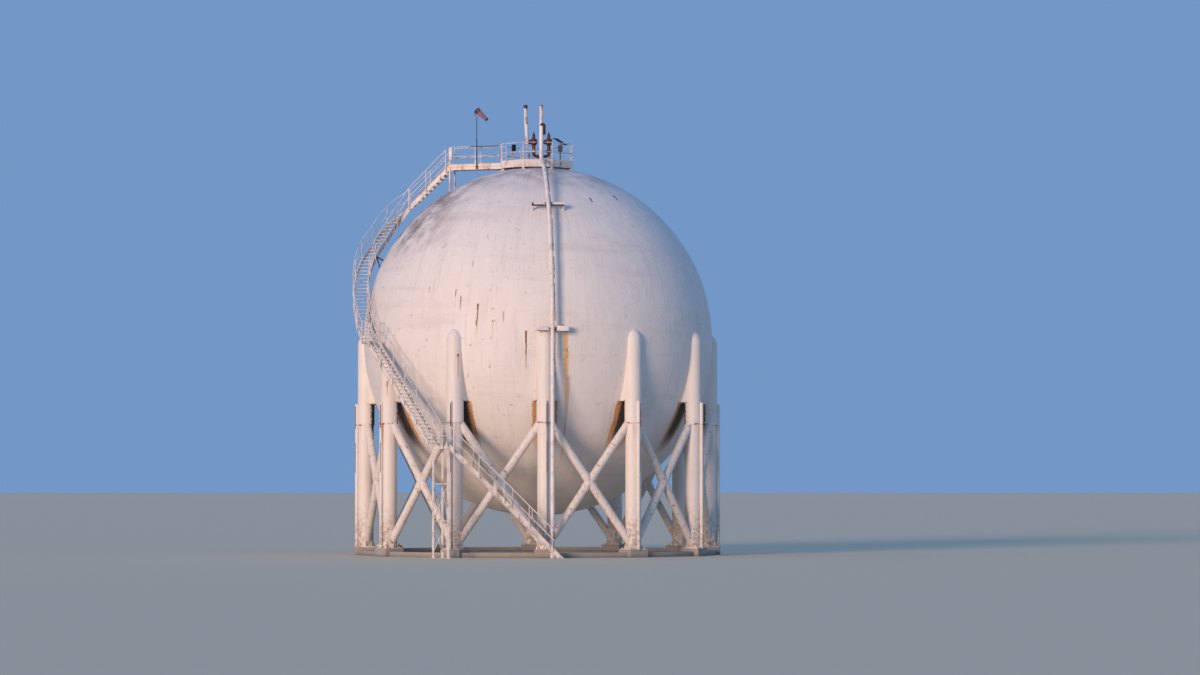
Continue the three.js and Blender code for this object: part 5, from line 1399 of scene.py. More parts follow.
for height in STRAIGHT_CLIPS:
    spot = polar(PIPE_ANGLE, PIPE_REACH, height)
    rod(shape, spot, spot + up(0.05), PIPE_RADIUS + 0.01, 24)
pipe_coat = worn_steel("pipe_coat", (0.8, 0.765, 0.745), 0.24, 3.2, (0.5, 0.32, 0.22), (0.2, 0.09, 0.06))
keep("front_vent_pipe", shape, pipe_coat, ["front_pipe"])

# Return bend at the front pipe's head: bare steel pipe that comes out of the foam, turns over and
# hangs open end down on the right, rusted almost black
RETURN_RADIUS = 0.075
RETURN_SPACING = 0.165
RETURN_END = 22.5
RETURN_WALL = 0.008
path = [head + up(PIPE_TOP - RETURN_RADIUS)]
for i in range(13):
    turn = math.radians(i * 15)
    aside_by, up_by = RETURN_SPACING / 2 * (1 - math.cos(turn)), RETURN_SPACING / 2 * math.sin(turn)
    path.append(head + PIPE_SIDE * aside_by + up(PIPE_TOP + up_by))
path.append(head + PIPE_SIDE * RETURN_SPACING + up(RETURN_END))
shape = bmesh.new()
drawn(
    shape, round_section(RETURN_RADIUS, 20),
    stations(path, polar(PIPE_ANGLE, 1, 0) - polar(PIPE_ANGLE, 0, 0))
)
open_end = min(
    (face for face in shape.faces if len(face.verts) == 20), key=lambda face: face.calc_center_median().z
)
bmesh.ops.inset_region(shape, faces=[open_end], thickness=RETURN_WALL)
bmesh.ops.translate(shape, verts=open_end.verts[:], vec=(0, 0, 0.3))
leg = path[-1] + up(0.12)
rod(shape, leg, leg + up(0.03), RETURN_RADIUS + 0.009, 20)
blackened = worn_steel(
    "blackened_steel", (0.03, 0.022, 0.022), 0.6, 9.0, (0.05, 0.024, 0.018), (0.012, 0.009, 0.01), 0.75
)
keep("vent_return_bend", shape, blackened)

# Conduit: thin steel tube beside the front pipe, rusted through so that short lengths of it are left.
# Small clips on the pipe hold the upper ones.
CONDUIT_LENGTHS = ((73, 66), (64.5, 50), (48, 39.5), (38, 26), (24, 17), (15.5, 4), (1, -9), (-11, -12.6))
CONDUIT_CLIPS = (70, 60, 52, 44, 34, 28, 20, 12, 6)
CONDUIT_OFFSET = 0.132
conduit_rust = worn_steel(
    "conduit_rust", (0.34, 0.3, 0.29), 0.8, 6.0, (0.2, 0.1, 0.06), (0.07, 0.035, 0.03), 0.6
)
shape = bmesh.new()
for start, end in CONDUIT_LENGTHS:
    path = []
    for i in range(9):
        latitude = start + (end - start) * i / 8
        spot = on_pipe(latitude)
        if latitude < 0:
            spot = polar(PIPE_ANGLE, PIPE_REACH, EQUATOR + PIPE_REACH * math.radians(latitude))
        stray = 0.012 * math.sin(i / 8 * math.pi * 1.5 + start)
        path.append(spot + PIPE_SIDE * (CONDUIT_OFFSET + stray))
    drawn(shape, round_section(0.015, 8), stations(path, PIPE_SIDE))
for latitude in CONDUIT_CLIPS:
    spot = on_pipe(latitude)
    rod(shape, spot + PIPE_SIDE * 0.1, spot + PIPE_SIDE * 0.165, 0.018, 6)
keep("old_conduit", shape, conduit_rust)

# Pipe brackets: a deep channel across behind the pipe, painted white, its ends carried in to pads on
# the shell, and a bolted band round the pipe. The lower one also carries a long junction box in a
# dark cradle. Their dark pieces are rusted lugs and bolts at the band, rust along each bottom lip
# darkened as painted shade of the underside, and painted shade as a block at the upper bracket's
# left end.
BRACKET_LENGTH = 1.72
BRACKET_DEPTH = 0.1
BRACKET_HEIGHT = 0.22
BRACKET_STANDOFF = 0.56 - PIPE_RADIUS - GAP - BRACKET_DEPTH / 2
UPPER_BRACKET = 45
LOWER_BRACKET = 1.7
BOX = (0.66, 0.2, 0.3)
bracket_white = worn_steel("bracket_white", (0.78, 0.75, 0.74), 0.22, 6.0)
bracket_shade_and_rust = worn_steel(
    "bracket_shade_and_rust", (0.16, 0.09, 0.07), 0.7, 8.0, (0.22, 0.1, 0.05), (0.07, 0.03, 0.022), 0.6
)


def bracket_frame(latitude):
    """A place on the bracket's middle: X along it, -Y away from the shell"""
    reach = SHELL_RADIUS + BRACKET_STANDOFF
    turn = math.radians(latitude)
    heart = at(0, reach * math.cos(turn), EQUATOR + reach * math.sin(turn))
    return about_axis(PIPE_ANGLE) @ Matrix.Translation(heart) @ Matrix.Rotation(-turn, 4, "X")


def in_frame(shape, frame_place, centre, sizes, bevel=0):
    """A box in a frame of its own"""
    eased_box(shape, frame_place @ Matrix.Translation(centre), sizes, bevel, 2)


shade_and_rust_parts = bmesh.new()
half = BRACKET_LENGTH / 2
edge_z = BRACKET_HEIGHT / 2
for name, node, latitude in (
    ("upper_pipe_bracket", "pipe_bracket_upper", UPPER_BRACKET),
    ("lower_pipe_bracket", "pipe_bracket_lower", LOWER_BRACKET),
):
    shape = bmesh.new()
    place = bracket_frame(latitude)
    in_frame(shape, place, (0, -0.044, 0.01), (BRACKET_LENGTH, 0.01, BRACKET_HEIGHT - 0.02))
    in_frame(shape, place, (0, 0.005, edge_z - 0.005), (BRACKET_LENGTH, BRACKET_DEPTH - 0.01, 0.01))
    # Bottom lip: rust, darkened as painted shade of the bracket's underside
    in_frame(
        shade_and_rust_parts, place, (0, 0.002, -edge_z + 0.012), (BRACKET_LENGTH + 0.004, BRACKET_DEPTH + 0.006, 0.024),
        0.003
    )
    for hand in (-1, 1):
        in_frame(shape, place, (hand * (half - 0.006), 0, 0), (0.014, BRACKET_DEPTH, BRACKET_HEIGHT))
        in_frame(
            shape, place, (hand * (half - 0.05), BRACKET_STANDOFF / 2 + 0.04, 0),
            (0.09, BRACKET_STANDOFF + 0.02, 0.09), 0.008
        )
        in_frame(
            shape, place, (hand * (half - 0.05), BRACKET_STANDOFF - 0.005, 0), (0.15, 0.04, 0.15), 0.012
        )
        in_frame(shade_and_rust_parts, place, (hand * 0.15, -0.06, 0), (0.05, 0.03, 0.12), 0.004)
        for lift in (-0.035, 0.035):
            start, end = (place @ Vector((hand * 0.15, out, lift)) for out in (-0.05, -0.1))
            rod(shade_and_rust_parts, start, end, 0.012, 6)
    # The upper bracket's left end block is painted shade, in the dark paint
    end_piece = shade_and_rust_parts if latitude == UPPER_BRACKET else shape
    in_frame(end_piece, place, (-half + 0.045, -0.02, -0.03), (0.1, 0.09, 0.16), 0.006)
    band = on_pipe(latitude)
    along = (place.to_3x3() @ up(1)).normalized()
    rod(shape, band - along * 0.04, band + along * 0.04, PIPE_RADIUS + 0.008, 24)
    keep(name, shape, bracket_white, [node])
box_x = BRACKET_LENGTH / 2 - BOX[0] / 2
in_frame(shade_and_rust_parts, place, (box_x, 0, -BOX[2] / 2 + 0.012), (BOX[0] + 0.006, BOX[1] + 0.01, 0.03), 0.004)
in_frame(shade_and_rust_parts, place, (box_x - BOX[0] / 2 + 0.03, 0, -0.01), (0.07, BOX[1] + 0.006, BOX[2] - 0.04), 0.004)
in_frame(shade_and_rust_parts, place, (box_x - 0.02, -0.03, BOX[2] / 2 + 0.03), (0.2, 0.03, 0.05), 0.004)
keep("bracket_shade_and_rust_parts", shade_and_rust_parts, bracket_shade_and_rust)

# Junction box in the lower bracket's cradle: pressed steel, painted, with a lid that overhangs, a front
# plate held by four screws, and a gland underneath
shape = bmesh.new()
in_frame(shape, place, (box_x, 0, 0), (BOX[0], BOX[1], BOX[2] - 0.02), 0.01)
in_frame(shape, place, (box_x, -BOX[1] / 2 - 0.004, 0), (BOX[0] - 0.05, 0.012, BOX[2] - 0.07), 0.004)
in_frame(shape, place, (box_x, 0, BOX[2] / 2 - 0.004), (BOX[0] + 0.02, BOX[1] + 0.02, 0.014), 0.004)
for x in (-0.26, 0.26):
    for z in (-0.07, 0.07):
        rod(shape, place @ Vector((box_x + x, -0.1, z)), place @ Vector((box_x + x, -0.122, z)), 0.012, 6)
rod(shape, place @ Vector((box_x - 0.2, 0, -0.1)), place @ Vector((box_x - 0.2, 0, -0.16)), 0.025, 12)
box_paint = worn_steel("box_paint", (0.82, 0.8, 0.79), 0.2, 5.0)
keep("junction_box", shape, box_paint)

# Relief manifold: a flanged nozzle on the crown, and a branch pipe each way with an upturned flanged
# end under each valve. Red oxide paint, faded and rusty, bright orange at the left valve's seat.
MANIFOLD_X = 0.165
NOZZLE_RADIUS = 0.13
BRANCH_Z = 21.47
BRANCH_RADIUS = 0.085
VALVE_SPREAD = 0.405
VALVE_SEAT = 21.79
VALVE_OUTLET = 22.29
FLANGE_RADIUS = 0.155
FLANGE_DEPTH = 0.045
BRANCH_BEND = 0.13
BRANCH_CLIMB = 0.1


def bolt_circle(shape, heart, radius, count, low, high, size=0.013):
    """Studs with a nut at each end round a flanged joint"""
    for i in range(count):
        turn = 2 * math.pi * (i + 0.5) / count
        spot = heart + Vector((radius * math.cos(turn), radius * math.sin(turn), 0))
        rod(shape, spot + up(low - 0.02), spot + up(high + 0.02), size, 6)


valve_red, shader, place = new_material("valve_red")
flakes = use_group(
    flaking_paint, Place=place, Scale=6.0, Worn=0.5, Paint=(0.11, 0.02, 0.018), Stain=(0.08, 0.026, 0.02),
    Rust=(0.028, 0.012, 0.012)
)
parts = split(place)
ragged = noise(place, 9.0, 5, 0.7)
band = maths("ABSOLUTE", parts["Z"] - (VALVE_SEAT + 0.01))
orange = ease(band, 0.1, 0.06) * ease(parts["X"], AXIS.x + 0.05, AXIS.x - 0.05)
tone = blend(orange * 0.9, flakes["Color"], blend(ragged, (0.62, 0.17, 0.03), (0.8, 0.36, 0.12)))
surface(shader, tone, flakes["Bare"] * 0.3 + 0.5, flakes["Height"], 0.6, 0.006)

shape = bmesh.new()
heart = at(MANIFOLD_X, 0, 0)
shell_top = EQUATOR + SHELL_RADIUS
joint_low = BRANCH_Z - 0.17
joint_high = joint_low + 0.06
rim = NOZZLE_RADIUS + 0.06
turned(shape, [
    (0, shell_top - 0.02), (0.2, shell_top - 0.02), (0.2, shell_top + 0.012),
    (NOZZLE_RADIUS, shell_top + 0.02), (NOZZLE_RADIUS, joint_low), (rim, joint_low),
    (rim, joint_low + 0.028), (NOZZLE_RADIUS + 0.03, joint_low + 0.03), (rim, joint_low + 0.032),
    (rim, joint_high), (NOZZLE_RADIUS, joint_high), (NOZZLE_RADIUS, BRANCH_Z), (0.12, BRANCH_Z + 0.09),
    (0.08, BRANCH_Z + 0.135), (0, BRANCH_Z + 0.15),
], heart, 32)
bolt_circle(shape, heart, NOZZLE_RADIUS + 0.038, 12, joint_low, joint_high)
for hand in (-1, 1):
    x = MANIFOLD_X + hand * VALVE_SPREAD
    path = [at(MANIFOLD_X, 0, BRANCH_Z), at(MANIFOLD_X + hand * 0.27, 0, BRANCH_Z + 0.06)]
    for i in range(1, 7):
        turn = math.radians(15 * i)
        across = x - hand * BRANCH_BEND * (1 - math.sin(turn))
        path.append(at(across, 0, BRANCH_Z + 0.07 + BRANCH_CLIMB * (1 - math.cos(turn))))
    path.append(at(x, 0, VALVE_SEAT - FLANGE_DEPTH))
    drawn(shape, round_section(BRANCH_RADIUS, 20), stations(path, Vector((0, 1, 0))))
    turned(shape, [
        (BRANCH_RADIUS, VALVE_SEAT - FLANGE_DEPTH - 0.03), (FLANGE_RADIUS, VALVE_SEAT - FLANGE_DEPTH),
        (FLANGE_RADIUS, VALVE_SEAT), (0, VALVE_SEAT),
    ], at(x, 0, 0), 28)
    bolt_circle(
        shape, at(x, 0, 0), FLANGE_RADIUS - 0.028, 8, VALVE_SEAT - FLANGE_DEPTH, VALVE_SEAT + FLANGE_DEPTH
    )
keep("crown_manifold", shape, valve_red, ["relief_manifold"])

# Manifold stays: four thin steel bars, painted white, that lean out from the branches down to plates
# on the deck
STAY_RADIUS = 0.022
STAY_FOOT = (0.12, 0.12, 0.014)
stay_paint = worn_steel("stay_paint", (0.7, 0.67, 0.66), 0.5, 7.0)
shape = bmesh.new()
for hand in (-1, 1):
    for depth in (-1, 1):
        high = at(MANIFOLD_X + hand * 0.06, 0, BRANCH_Z + 0.03)
        low = at(MANIFOLD_X + hand * 0.47, depth * 0.33, DECK + 0.01)
        rod(shape, high, low, STAY_RADIUS, 6)
        slab(shape, low, STAY_FOOT, 0, 0.002)
keep("manifold_stays", shape, stay_paint)

# Relief valves: cast bodies with a bolted cover and a tall pointed spring bonnet. The outlet at the
# side ends at the foot of the valve's own vent stack.
LEFT_VENT_X = -0.6
LEFT_VENT_LEAN = -0.09
RIGHT_VENT_X = 0.157
VENT_RADIUS = 0.1
VENT_TOP = 24.3
COVER_RADIUS = 0.195
COVER_LOW = 0.065
COVER_HIGH = 0.12
OUTLET_FLANGE = 0.128
OUTLET_JOINT = 0.228


def relief_valve(shape, x, vent_x):
    """Flange, neck, round body, cover, bonnet and cap, with a flanged outlet pipe to its vent"""
    seat = VALVE_SEAT + GAP
    outlet = VALVE_OUTLET
    turned(shape, [
        (0, seat), (FLANGE_RADIUS, seat), (FLANGE_RADIUS, seat + FLANGE_DEPTH),
        (0.095, seat + FLANGE_DEPTH + 0.01), (0.088, outlet - 0.19), (0.13, outlet - 0.155),
        (0.172, outlet - 0.11), (0.185, outlet - 0.06), (0.186, outlet + 0.03), (0.176, outlet + 0.06),
        (COVER_RADIUS, outlet + COVER_LOW), (COVER_RADIUS, outlet + 0.09), (0.182, outlet + 0.094),
        (COVER_RADIUS, outlet + 0.098), (COVER_RADIUS, outlet + COVER_HIGH), (0.15, outlet + 0.16),
        (0.105, outlet + 0.19), (0.084, outlet + 0.235),
        (0.072, outlet + 0.4), (0.05, outlet + 0.43), (0.045, outlet + 0.46), (0.03, outlet + 0.49),
        (0.028, outlet + 0.54), (0.012, outlet + 0.565), (0, outlet + 0.575),
    ], at(x, 0, 0), 28)
    bolt_circle(shape, at(x, 0, 0), 0.172, 10, outlet + COVER_LOW, outlet + COVER_HIGH, 0.011)
    hand = 1 if vent_x > x else -1
    rod(shape, at(x, 0, outlet), at(vent_x - hand * VENT_RADIUS, 0, outlet), BRANCH_RADIUS, 20)
    middle = x + hand * OUTLET_JOINT
    for side in (-0.012, 0.012):
        start, end = (at(middle + side + thick, 0, outlet) for thick in (-0.01, 0.01))
        rod(shape, start, end, OUTLET_FLANGE, 24)
    for i in range(8):
        turn = 2 * math.pi * (i + 0.5) / 8
        spot = at(middle, 0, outlet) + Vector((0, 0.108 * math.cos(turn), 0.108 * math.sin(turn)))
        rod(shape, spot - Vector((0.036, 0, 0)), spot + Vector((0.036, 0, 0)), 0.01, 6)
    rod(shape, at(x, 0, outlet + 0.3), at(x - hand * 0.1, 0, outlet + 0.34), 0.012, 6)


for side, x, vent_x in (
    ("left", MANIFOLD_X - VALVE_SPREAD, LEFT_VENT_X), ("right", MANIFOLD_X + VALVE_SPREAD, RIGHT_VENT_X),
):
    shape = bmesh.new()
    relief_valve(shape, x, vent_x)
    keep(f"{side}_relief_valve", shape, valve_red, [f"relief_valve_{side}"])

# Vent stacks: plain painted pipes, open at the top, each propped on a post with a foot plate. The
# left one leans out a little, and its head has rusted to a dark red band.
vent_coat, shader, place = new_material("vent_coat")
flakes = use_group(
    flaking_paint, Place=place, Scale=3.5, Worn=0.42, Paint=(0.76, 0.73, 0.72), Stain=(0.38, 0.27, 0.22),
    Rust=(0.12, 0.06, 0.05)
)
parts = split(place)
ragged = noise(place, 7.0, 5, 0.7)
line_at = parts["Z"] + (ragged - 0.5) * 0.08
on_left = ease(parts["X"], AXIS.x - 0.2, AXIS.x - 0.3)
crust = ease(line_at + on_left * 0.15, VENT_TOP - 0.05, VENT_TOP - 0.02)
tone = blend(crust, flakes["Color"], (0.055, 0.014, 0.016))
surface(shader, tone, flakes["Bare"] * 0.3 + 0.5, flakes["Height"], 0.6, 0.008)
vent_low = VALVE_OUTLET - 0.13
for name, node, x, lean, rim in (
    ("left_vent_stack", "vent_stack_left", LEFT_VENT_X, LEFT_VENT_LEAN, 0.01),
    ("right_vent_stack", "vent_stack_right", RIGHT_VENT_X, 0, 0.003),
):
    shape = bmesh.new()
    turned(shape, [
        (0, vent_low), (VENT_RADIUS - 0.01, vent_low), (VENT_RADIUS, vent_low + 0.01),
        (VENT_RADIUS, VENT_TOP - 0.19), (VENT_RADIUS + rim, VENT_TOP - 0.18), (VENT_RADIUS + rim, VENT_TOP),
        (VENT_RADIUS - 0.01, VENT_TOP), (VENT_RADIUS - 0.012, VENT_TOP - 0.6), (0, VENT_TOP - 0.6),
    ], at(x, 0, 0), 24)
    pivot = at(x, 0, vent_low)
    tipped = Matrix.Rotation(math.atan2(lean, VENT_TOP - vent_low), 3, "Y")
    bmesh.ops.rotate(shape, verts=shape.verts, cent=pivot, matrix=tipped)
    rod(shape, at(x, 0, DECK + 0.012), at(x, 0, vent_low + 0.02), 0.045, 12)
    slab(shape, at(x, 0, DECK + 0.007), (0.18, 0.18, 0.012), 0, 0.002)
    keep(name, shape, vent_coat, [node])

# Hand valve beside the left vent: a steel stem on a foot plate on the deck, with a cast bonnet and a
# handwheel with three bars across it, all painted blue
STEM_TOP = 21.5
BONNET_TOP = 21.6
WHEEL_Z = 21.66
blue_paint = worn_steel("blue_paint", (0.03, 0.09, 0.22), 0.35, 9.0)
shape = bmesh.new()
spot = at(-0.5, 0.3, 0)
rod(shape, spot + up(DECK + 0.005), spot + up(STEM_TOP), 0.02, 10)
slab(shape, spot + up(DECK + 0.006), (0.12, 0.12, 0.01), 0, 0.002)
rod(shape, spot + up(STEM_TOP - 0.03), spot + up(BONNET_TOP), 0.05, 12)
rod(shape, spot + up(BONNET_TOP), spot + up(WHEEL_Z), 0.018, 8)
wheel = [spot + Vector((*rim, WHEEL_Z)) for rim in round_section(0.075, 12)]
drawn(shape, round_section(0.01, 6), stations(wheel, closed=True), closed=True)
for i in range(3):
    rod(shape, wheel[i * 2], wheel[i * 2 + 6], 0.007, 6)
keep("hand_valve", shape, blue_paint)

# Solar panel: dark cells under glass in an aluminium frame, tilted on a post, over a grey-green
# steel box with a lid and a door
PANEL_PLACE = (1.15, 0.9)
PANEL_SIZE = (0.72, 0.54)
PANEL_TILT = 32
PANEL_HEADING = -33
PANEL_Z = 22.24
CONTROL_BOX = (0.23, 0.17, 0.38)
CONTROL_Z = 21.84
CELL_PITCH = (0.137, 0.126)
faced = Matrix.Rotation(math.radians(PANEL_HEADING), 4, "Z")
tipped = Matrix.Rotation(math.radians(PANEL_TILT), 4, "Y")
tilt = Matrix.Translation(at(*PANEL_PLACE, PANEL_Z)) @ faced @ tipped
cell_blue, shader, place = new_material("solar_cells")
dust = noise(place, 5.0, 5)
surface(shader, blend(dust, (0.004, 0.009, 0.05), (0.012, 0.022, 0.09)), dust * 0.3 + 0.4)
shader.inputs["Specular IOR Level"].default_value = 0.12
shape = bmesh.new()
for i in range(5):
    for k in range(4):
        in_frame(shape, tilt, ((i - 2) * CELL_PITCH[0], (k - 1.5) * CELL_PITCH[1], 0.015),
                 (CELL_PITCH[0] - 0.005, CELL_PITCH[1] - 0.005, 0.004))
keep("solar_cells", shape, cell_blue)
frame_metal = worn_steel(
    "panel_frame", (0.1, 0.11, 0.13), 0.12, 8.0, (0.1, 0.09, 0.08), (0.05, 0.045, 0.04), 0.4
)
shape = bmesh.new()
for hand in (-1, 1):
    in_frame(shape, tilt, (0, hand * (PANEL_SIZE[1] / 2 - 0.01), 0), (PANEL_SIZE[0], 0.02, 0.035), 0.002)
    in_frame(
        shape, tilt, (hand * (PANEL_SIZE[0] / 2 - 0.01), 0, 0), (0.02, PANEL_SIZE[1] - 0.04, 0.035), 0.002
    )
    in_frame(shape, tilt, (0, hand * 0.12, -0.025), (0.56, 0.03, 0.03), 0.002)
in_frame(shape, tilt, (0, 0, 0.009), (PANEL_SIZE[0] - 0.03, PANEL_SIZE[1] - 0.03, 0.006))
rod(shape, at(*PANEL_PLACE, DECK + 0.01), at(*PANEL_PLACE, PANEL_Z - 0.02), 0.03, 16)
slab(shape, at(*PANEL_PLACE, DECK + GAP + 0.008), (0.2, 0.2, 0.016), 0, 0.002)
four_bolts(shape, at(*PANEL_PLACE, DECK + 0.016), 0.075, 0.01)
keep("panel_stand", shape, frame_metal, ["solar_panel"])
box_green = worn_steel("control_box_paint", (0.045, 0.06, 0.06), 0.3, 9.0)
shape = bmesh.new()
wide, deep, tall = CONTROL_BOX
heart = at(*PANEL_PLACE, CONTROL_Z)
front = at(PANEL_PLACE[0], PANEL_PLACE[1] + deep / 2, CONTROL_Z)
slab(shape, heart - up(0.01), (wide, deep, tall - 0.02), 0, 0.006)
slab(shape, heart + up(tall / 2 - 0.01), (wide + 0.03, deep + 0.03, 0.02), 0, 0.004)
slab(shape, front + Vector((0, -0.004, -0.015)), (wide - 0.03, 0.01, tall - 0.06), 0, 0.003)
for lift in (-0.12, 0.09):
    hinge = front + Vector((-0.1, -0.008, lift))
    rod(shape, hinge, hinge + up(0.04), 0.008, 8)
slab(shape, front + Vector((0.08, -0.014, 0)), (0.016, 0.016, 0.05), 0, 0.003)
for across in (-0.05, 0.05):
    gland = heart + Vector((across, 0, -0.25))
    rod(shape, gland, gland + up(0.07), 0.016, 10)
keep("control_box", shape, box_green)

# Floodlight: a black casting with cooling fins behind and glass in front, on a short post, with
# its ballast box lower down
LAMP_PLACE = (-1.44, 0.9)
LAMP_Z = 21.9
black_casting, shader, place = new_material("black_casting")
dust = noise(place, 12.0, 5)
tone = blend(dust, (0.004, 0.0045, 0.005), (0.014, 0.014, 0.015))
surface(shader, tone, dust * 0.3 + 0.35, noise(place, 160.0, 2), 0.3, 0.002)
shader.inputs["Specular IOR Level"].default_value = 0.2
lamp_heart = at(LAMP_PLACE[0] + 0.09, LAMP_PLACE[1], LAMP_Z)
lamp = Matrix.Translation(lamp_heart) @ Matrix.Rotation(math.radians(8), 4, "X")
shape = bmesh.new()
in_frame(shape, lamp, (0, 0.02, 0), (0.2, 0.1, 0.32), 0.025)
in_frame(shape, lamp, (0, -0.04, 0), (0.228, 0.04, 0.355), 0.012)
for i in range(7):
    in_frame(shape, lamp, (-0.078 + i * 0.026, 0.08, 0), (0.006, 0.04, 0.27), 0)
for hand in (-1, 1):
    in_frame(shape, lamp, (hand * 0.105, 0.01, -0.02), (0.012, 0.035, 0.22), 0.003)
slab(shape, at(LAMP_PLACE[0], LAMP_PLACE[1], LAMP_Z - 0.02), (0.05, 0.09, 0.3), 0, 0.006)
keep("floodlight_body", shape, black_casting, ["floodlight"])
lamp_glass, shader, place = new_material("lamp_glass")
tone = blend(noise(place, 20.0, 4), (0.004, 0.005, 0.007), (0.016, 0.018, 0.022))
surface(shader, tone, noise(place, 9.0, 3) * 0.2 + 0.2)
shader.inputs["Specular IOR Level"].default_value = 0.15
shape = bmesh.new()
in_frame(shape, lamp, (0, -0.058, 0), (0.19, 0.008, 0.31), 0.003)
keep("floodlight_glass", shape, lamp_glass)
lamp_post = worn_steel("lamp_post", (0.6, 0.45, 0.34), 0.6, 6.0)
shape = bmesh.new()
rod(shape, at(*LAMP_PLACE, DECK + 0.01), at(*LAMP_PLACE, 22.0), 0.025, 12)
slab(shape, at(*LAMP_PLACE, DECK + GAP + 0.008), (0.16, 0.16, 0.016), 0, 0.002)
slab(shape, at(LAMP_PLACE[0] + 0.05, LAMP_PLACE[1], 21.45), (0.1, 0.09, 0.16), 0, 0.008)
keep("floodlight_post", shape, lamp_post)

# Wind sock pole: painted steel tube with a sleeved joint, held to the walkway's front beam by a plate
# and four bolts, with a thin spindle at its top
SOCK_REACH = 3.4
POLE_RADIUS = 0.027
JOINT_RADIUS = 0.03
UPPER_POLE = 0.02
SPINDLE = 0.012
POLE_LOW = 20.9
POLE_JOINT = 22.4
POLE_TOP = 23.56
SLEEVE_TOP = 23.79
MOUTH_Z = 24.08
MOUTH_RADIUS = 0.19
TIP_RADIUS = 0.095
SOCK_DROP = 36
SOCK_HEADING = 30
FRAME_BAR = 0.01
sock_foot = on_walkway(SOCK_REACH, 0.4 + GAP + POLE_RADIUS, 0)
pole_paint = worn_steel(
    "pole_paint", (0.035, 0.032, 0.036), 0.4, 5.0, (0.06, 0.035, 0.028), (0.03, 0.018, 0.016)
)
shape = bmesh.new()
turned(shape, [
    (0, POLE_LOW), (POLE_RADIUS, POLE_LOW), (POLE_RADIUS, POLE_JOINT), (JOINT_RADIUS, POLE_JOINT + 0.005),
    (JOINT_RADIUS, POLE_JOINT + 0.1), (UPPER_POLE, POLE_JOINT + 0.11), (UPPER_POLE, POLE_TOP - 0.01),
    (POLE_RADIUS, POLE_TOP - 0.01), (POLE_RADIUS, POLE_TOP), (SPINDLE, POLE_TOP),
    (SPINDLE, SLEEVE_TOP - 0.018), (0, SLEEVE_TOP - 0.015),
], sock_foot, 20)
slab(shape, sock_foot + up(POLE_LOW + 0.09), (0.11, 0.054, 0.18), deck_turn, 0.004)
for lift in (0.03, 0.15):
    spot = sock_foot + up(POLE_LOW + lift)
    for along in (-0.04, 0.04):
        rod(shape, spot + away * along, spot + away * along + aside * 0.04, 0.009, 6)
keep("sock_pole", shape, pole_paint, ["wind_sock_pole"])

# Wind sock frame: painted steel, rusted in spots. A capped sleeve turns on the spindle, and a bent
# stem that is welded to it holds the ring of the sock's mouth.
drop = math.radians(SOCK_DROP)
headed = Matrix.Rotation(math.radians(SOCK_HEADING), 3, "Z")
sock_way = headed @ Vector((math.cos(drop), 0, -math.sin(drop)))
downward = headed @ Vector((-math.sin(drop), 0, -math.cos(drop)))
mouth = sock_foot + up(MOUTH_Z)
facing = Matrix((downward, headed @ Vector((0, 1, 0)), sock_way)).transposed()
to_sock = Matrix.Translation(mouth) @ facing.to_4x4()
frame_steel = worn_steel(
    "sock_frame_steel", (0.12, 0.1, 0.1), 0.5, 9.0, (0.2, 0.1, 0.06), (0.09, 0.04, 0.03)
)
shape = bmesh.new()
low = POLE_TOP + GAP
turned(shape, [
    (0.0145, low), (0.024, low), (0.024, SLEEVE_TOP - 0.004), (0.02, SLEEVE_TOP), (0, SLEEVE_TOP),
    (0, SLEEVE_TOP - 0.012), (0.0145, SLEEVE_TOP - 0.012), (0.0145, low),
], sock_foot, 20)
ring_places = []
for i in range(36):
    spot = Matrix.Rotation(math.radians(i * 10), 3, "Z") @ Vector((1, 0, 0))
    outward = facing @ spot
    around = facing @ Vector((-spot.y, spot.x, 0))
    standing = Matrix((outward, sock_way, around)).transposed().to_4x4()
    ring_places.append(Matrix.Translation(to_sock @ (spot * (MOUTH_RADIUS - FRAME_BAR))) @ standing)
drawn(shape, round_section(FRAME_BAR, 10), ring_places, closed=True)
elbow = mouth + downward * (MOUTH_RADIUS + 0.14) - sock_way * 0.008
rod(shape, sock_foot + up(SLEEVE_TOP - 0.045), elbow, 0.008, 10)
rod(shape, elbow, mouth + downward * (MOUTH_RADIUS - FRAME_BAR) - sock_way * 0.008, 0.008, 10)
keep("sock_frame", shape, frame_steel, ["wind_sock_frame"], "sock")

# Wind sock: a tapered tube of faded nylon, hemmed at both ends and laced to the ring. It hangs
# half filled, with soft folds along it.
SOCK_START = FRAME_BAR * math.sin(math.pi / 3) + GAP
SOCK_LENGTH = 0.8
SOCK_STEPS = 26
shape = bmesh.new()
profile = []
for i in range(SOCK_STEPS + 1):
    share = i / SOCK_STEPS
    profile.append(
        (MOUTH_RADIUS - 0.003 + (TIP_RADIUS - MOUTH_RADIUS) * share, SOCK_START + SOCK_LENGTH * share)
    )
corners = [shape.verts.new((radius, 0, along)) for radius, along in profile]
edges = [shape.edges.new(pair) for pair in zip(corners, corners[1:])]
spun(shape, corners + edges, Vector(), (0, 0, 1), 2 * math.pi, 64, True)
bmesh.ops.remove_doubles(shape, verts=shape.verts, dist=1e-5)
for vert in shape.verts:
    turn = math.atan2(vert.co.y, vert.co.x)
    share = (vert.co.z - SOCK_START) / SOCK_LENGTH
    soft = math.sin(math.pi * min(1, share * 1.15) * 0.87)
    fold = 0.0045 * soft * math.sin(5 * turn + 3.5 * share) + 0.003 * soft * math.sin(9 * turn - 6 * share)
    grown = 1 + (fold - 0.002 * soft) / math.hypot(vert.co.x, vert.co.y)
    vert.co.x *= grown
    vert.co.y *= grown
    vert.co.x += 0.012 * math.sin(math.pi * share)
bmesh.ops.recalc_face_normals(shape, faces=shape.faces)
uv = shape.loops.layers.uv.new("cloth")
